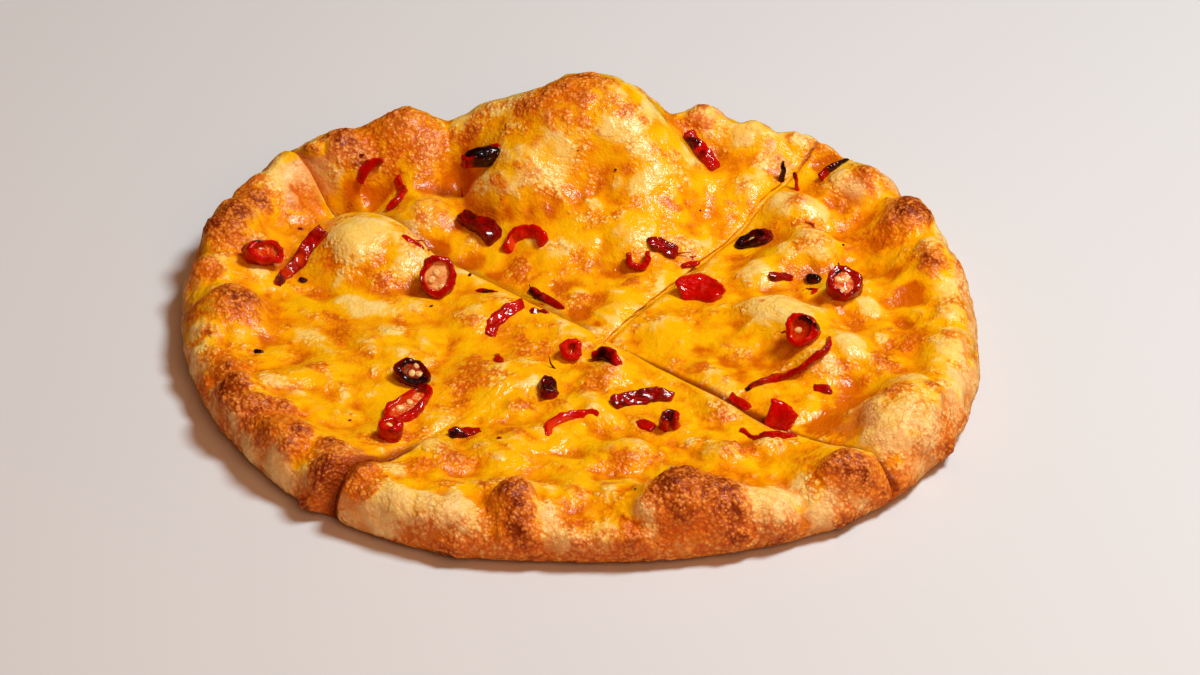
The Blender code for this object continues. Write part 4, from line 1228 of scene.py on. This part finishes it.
def dropMap():
    # how far the dressed surface lies below the plain solids, on a square grid
    low, high = (np.array(corner) / mm for corner in cadBounds)
    columns = np.arange(low[0], high[0], chilliLook["mapSpacing"])
    rows = np.arange(low[1], high[1], chilliLook["mapSpacing"])
    down = Vector((0, 0, -1))
    drop = np.zeros((len(rows), len(columns)))
    for row, y in enumerate(rows):
        for column, x in enumerate(columns):
            above = Vector((x, y, 100.0))
            plain = plainTree.ray_cast(above, down)[0]
            dressed = dressedTree.ray_cast(above, down)[0]
            if plain and dressed:
                drop[row, column] = plain.z - dressed.z
    for _ in range(chilliLook["mapSoftening"]):
        around = sum(np.roll(drop, step, axis) for step in (-1, 1) for axis in (0, 1))
        drop = (drop + around) / 5.0
    return columns, rows, drop


dropColumns, dropRows, dropAmounts = dropMap()


def dropAt(points):
    spacing = chilliLook["mapSpacing"]
    x = np.clip((points[:, 0] - dropColumns[0]) / spacing, 0, len(dropColumns) - 1.001)
    y = np.clip((points[:, 1] - dropRows[0]) / spacing, 0, len(dropRows) - 1.001)
    column, row = x.astype(int), y.astype(int)
    right, up = x - column, y - row
    lower = dropAmounts[row, column] * (1 - right) + dropAmounts[row, column + 1] * right
    upper = dropAmounts[row + 1, column] * (1 - right) + dropAmounts[row + 1, column + 1] * right
    return lower * (1 - up) + upper * up


def toPhoto(points):
    start, forward, up = cameraAxes()
    away = points - np.array(start)
    depth = away @ np.array(forward)
    across = photo["width"] / 2 + photo["focalPixels"] * away[:, 0] / depth
    down = photo["height"] / 2 - photo["focalPixels"] * (away @ np.array(up)) / depth
    return across, down


def charOf(points):
    across, down = toPhoto(points)
    left = np.ones(len(points))
    near, far = chilliLook["charReach"]
    for px, py, radius, strength in charSpots:
        away = np.hypot(across - px, down - py)
        left *= 1.0 - strength * (1.0 - smoothStep(near * radius, far * radius, away))
    return 1.0 - left


def chilliMaterial(name):
    sheet = Sheet(name)
    colours = {key: fromScreen(*colour) for key, colour in chilliColours.items()}
    parts = {key: sheet.cloud(*settings) - 0.5 for key, settings in chilliFinish["clouds"].items()}
    parts |= {key: sheet.value(key) for key in ("char", "deep", "flesh", "pith")}
    parts["always"] = 1.0
    deep, flesh, pith, black, dulling, height = (blend(parts, recipe) for recipe in chilliBlends.values())
    colour = sheet.mixed(colours["bright"], colours["deep"], deep.clipped())
    colour = sheet.mixed(colour, colours["flesh"], flesh.clipped() * chilliFinish["fleshCover"])
    colour = sheet.mixed(colour, colours["pith"], pith)
    colour = sheet.mixed(colour, colours["black"], black)
    return sheet.finish({
        **steady(chilliFinish),
        "Base Color": colour,
        "Roughness": dulling.clipped(),
        "Normal": sheet.bumped(height, chilliFinish["relief"], chilliFinish["reliefStrength"]),
    })


def seedMaterial(name):
    sheet = Sheet(name)
    look = seedLook
    pale, golden = (fromScreen(*look[key]) for key in ("pale", "golden"))
    mottle = sheet.cloud(*look["mottle"]) - 0.5
    return sheet.finish({
        **steady(look),
        "Base Color": sheet.mixed(pale, golden, (mottle * look["contrast"] + look["gold"]).clipped()),
        "Roughness": (mottle * look["roughnessSpread"] + look["roughness"]).clipped(),
        "Normal": sheet.bumped(mottle, look["relief"], look["reliefStrength"]),
    })


def ringAxes(points):
    # the middle of a ring, its long, short and upward axes, and how far it reaches along each
    middle = points.mean(axis=0)
    _, axes = np.linalg.eigh(np.cov((points - middle).T))
    upward = axes[:, 0] * (1.0 if axes[2, 0] > 0 else -1.0)
    long = axes[:, 2] * (1.0 if axes[np.abs(axes[:, 2]).argmax(), 2] > 0 else -1.0)
    short = np.cross(upward, long)
    axes = np.array((long, short, upward))
    return middle, axes, np.abs((points - middle) @ axes.T).max(axis=0)


def crumpleChilli(piece, name, seed):
    look = chilliLook
    addModifier(piece, "REMESH", mode="VOXEL", voxel_size=look["voxel"] * mm, use_smooth_shade=True)
    addModifier(piece, "SMOOTH", iterations=chilliRounding.get(name, look["smoothing"]), factor=0.5)
    points = readPoints(piece)
    normals = readNormals(piece)
    middle, axes, _ = ringAxes(points)
    stretched = (points - middle) @ axes.T * look["stretch"]
    creases = np.abs(softNoise(stretched, look["wrinkleSize"], seed + 5.0))
    inward = ((middle - points) * normals).sum(axis=1) / (np.linalg.norm(points - middle, axis=1) + 0.01)
    storeValues(piece, {
        "flesh": smoothStep(*look["fleshSlope"], inward),
        "char": charOf(points),
        "deep": chilliDepth.get(name, look["usualDepth"]),
        "pith": look["noPith"],
    })
    swell = chilliSwelling.get(name, look["swell"])
    points = points + normals * (swell + look["wrinkle"] * (creases * 2.0 - 0.5))[:, None]
    points = warpBy(warpBy(points, *look["bend"]), *look["crumple"])
    points[:, 2] -= dropAt(points) + look["sink"]
    points[:, 2] = np.clip(points[:, 2], 0.0, cadBounds[1][2] / mm)
    writePoints(piece, points)


def turnAbout(axis, degrees):
    return np.array(Matrix.Rotation(math.radians(degrees), 3, Vector(axis)))


def addBlob(middle, axes, sizes, roughness, fineness, values):
    # a rounded lump from a ball: stretched along its axes, then roughened
    deselectAll()
    bpy.ops.mesh.primitive_ico_sphere_add(subdivisions=fineness, radius=mm)
    made = bpy.context.object
    points = middle + (readPoints(made) * np.array(sizes)) @ axes
    writePoints(made, warpBy(warpBy(points, 3.0, roughness), 1.1, 0.5 * roughness))
    storeValues(made, values)
    return made


def addThread(start, end, width, char):
    # a tapering shred from one point to another, bent on the way
    look = threadLook
    deselectAll()
    ends = "TRIFAN"
    bpy.ops.mesh.primitive_cylinder_add(vertices=look["sides"], radius=mm, depth=2 * mm, end_fill_type=ends)
    made = bpy.context.object
    bpy.ops.object.mode_set(mode="EDIT")
    bpy.ops.mesh.select_all(action="SELECT")
    bpy.ops.mesh.subdivide(number_cuts=look["cuts"])
    bpy.ops.object.mode_set(mode="OBJECT")
    unit = readPoints(made)
    along = np.array(end - start)
    length = np.linalg.norm(along)
    along = along / length
    side = np.cross(along, (0.3, 0.9, 0.3))
    side /= np.linalg.norm(side)
    flat = np.cross(along, side)
    share = (unit[:, 2] + 1.0) / 2.0
    taper = 0.5 * width * (1.0 - look["taper"] * share)
    points = np.array(start) + np.outer(share * length, along)
    points += np.outer(unit[:, 0] * taper, side) + np.outer(look["flatness"] * unit[:, 1] * taper, flat)
    writePoints(made, warpBy(points, *look["bend"]))
    storeValues(made, {"flesh": 0.2, "char": char, "deep": 0.4, "pith": chilliLook["noPith"]})
    return made


def joinPieces(items, name, material):
    deselectAll()
    for item in items:
        item.select_set(True)
    bpy.context.view_layer.objects.active = items[0]
    bpy.ops.object.join()
    made = bpy.context.object
    made.name = name
    bpy.ops.object.shade_smooth()
    made.data.materials.append(material)
    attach(made, "root")
    return made


def fillRing(piece, name, index):
    # the lump of flesh inside a ring, and the seeds on it
    share, height, rise, deep, char, pith, seedCount = chilliFillings[name]
    middle, (long, short, upward), reach = ringAxes(readPoints(piece))
    core = middle + upward * rise * reach[2]
    sizes = reach * (share, share, height)
    values = {"flesh": 1.0 - char, "char": char, "deep": deep, "pith": pith}
    filling = addBlob(core, np.array((long, short, upward)), sizes, 0.5, 4, values)
    made = []
    first, outwards, onwards = seedLook["spiral"]
    for count in range(seedCount):
        turn = onwards * count + index
        spread = first + outwards * count
        place = core + long * sizes[0] * spread * math.cos(turn) + short * sizes[1] * spread * math.sin(turn)
        place = place + upward * sizes[2] * seedLook["height"]
        leaning = long * math.cos(turn) + short * math.sin(turn)
        seedAxes = np.array((leaning, np.cross(upward, leaning), upward))
        made.append(addBlob(place, seedAxes, seedLook["size"], seedLook["roughened"], 3, {}))
    return filling, made


redMaterial = chilliMaterial("baked_chilli")
charMaterial = chilliMaterial("charred_chilli")
slotOf = {entry["node"]: entry["material_slot"] for entry in frame["record"]["subparts"]}
fillings = []
seeds = []
for index, nodeName in enumerate(chilliNames):
    shortName = nodeName.removeprefix("chilli_")
    piece = copyNode(nodeName, "baked_" + nodeName)
    if shortName in chilliTurns:
        middle, axes, _ = ringAxes(readPoints(piece))
        turned = turnAbout(axes[2], chilliTurns[shortName])
        writePoints(piece, middle + (readPoints(piece) - middle) @ turned.T)
    crumpleChilli(piece, shortName, 3.7 * index)
    bpy.ops.object.shade_smooth()
    piece.data.materials.append(charMaterial if slotOf[nodeName] == "char" else redMaterial)
    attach(piece, "root")
    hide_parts(nodeName)
    if shortName in chilliFillings:
        filling, made = fillRing(piece, shortName, index)
        fillings.append(filling)
        seeds += made
joinPieces(fillings, "chilli_insides", redMaterial)
joinPieces(seeds, "chilli_seeds", seedMaterial("chilli_seed"))

shreds = []
for startX, startY, endX, endY, width, char in chilliThreads:
    eye, direction = pixelRay(startX, startY)
    start = dressedTree.ray_cast(eye, direction)[0]
    if start:
        distance = (start - eye).length
        end = eye + pixelRay(endX, endY)[1] * (distance - threadLook["raised"])
        shreds.append(addThread(start - Vector((0, 0, threadLook["sunk"])), end, width, char))
for px, py, size, char in chilliFlecks:
    place = dressedTree.ray_cast(*pixelRay(px, py))[0]
    if place:
        lump = np.array(place) + (0.0, 0.0, 0.25 * size)
        values = {"flesh": 0.0, "char": char, "deep": 0.6, "pith": chilliLook["noPith"]}
        shreds.append(addBlob(lump, np.eye(3), np.array(fleckShape) * size, 0.5, 2, values))
joinPieces(shreds, "chilli_shreds", redMaterial)
counts = {"pieces": len(chilliNames), "fillings": len(fillings), "seeds": len(seeds), "shreds": len(shreds)}
print("chilli made:", counts)


# ---- stage: a pale floor, soft studio light from the right and behind, and the camera

stageLook = {
    "floorSize": 6.0,
    "floor": (0.70, 0.715, 0.75, 1),
    "floorRoughness": 0.7,
    "keyPlace": (0.54, 0.04, 1.00),
    "keySize": 0.32,
    "keyPower": 11.7,
    "keyColour": (0.88, 1.0, 1.0),
    "fillPlace": (0.35, -0.95, 0.85),
    "fillSize": 0.8,
    "fillPower": 4.9,
    "fillColour": (1.0, 0.50, 0.26),
    "sky": (1.0, 0.42, 0.18, 1),
    "skyStrength": 0.23,
}

deselectAll()
bpy.ops.mesh.primitive_plane_add(size=stageLook["floorSize"], location=(0, 0, 0))
floor = bpy.context.object
floor.name = "pale_floor"
floorLook = {"Base Color": stageLook["floor"], "Roughness": stageLook["floorRoughness"]}
floor.data.materials.append(Sheet("pale_floor").finish(floorLook))
floor.visible_glossy = False


def areaLight(name, place, size, power, colour, glossy):
    lamp = bpy.data.lights.new(name, "AREA")
    lamp.shape = "DISK"
    lamp.size = size
    lamp.energy = power
    lamp.color = colour
    made = bpy.data.objects.new(name, lamp)
    made.location = place
    made.visible_glossy = glossy
    made.rotation_euler = (Vector((0, 0, 0)) - Vector(place)).to_track_quat("-Z", "Y").to_euler()
    bpy.context.scene.collection.objects.link(made)


for name, glossy in (("key", True), ("fill", False)):
    place, size, power, colour = (stageLook[name + ending] for ending in ("Place", "Size", "Power", "Colour"))
    areaLight(name, place, size, power, colour, glossy)
world = bpy.data.worlds.new("studio")
bpy.context.scene.world = world
world.use_nodes = True
background = world.node_tree.nodes["Background"]
background.inputs["Color"].default_value = stageLook["sky"]
background.inputs["Strength"].default_value = stageLook["skyStrength"]
world.cycles_visibility.glossy = False
bpy.context.scene.view_settings.view_transform = "Standard"

camera = bpy.data.objects.new("camera", bpy.data.cameras.new("camera"))
bpy.context.scene.collection.objects.link(camera)
cameraPlace, _, _ = cameraAxes()
camera.location = cameraPlace * mm
camera.rotation_euler = (math.radians(90 - photo["pitch"]), 0, 0)
camera.data.sensor_width = photo["sensor"]
camera.data.lens = photo["focalPixels"] / photo["width"] * photo["sensor"]
camera.data.clip_start = 0.01
camera.data.clip_end = 20.0
bpy.context.scene.camera = camera
print("stage, lights and camera set")
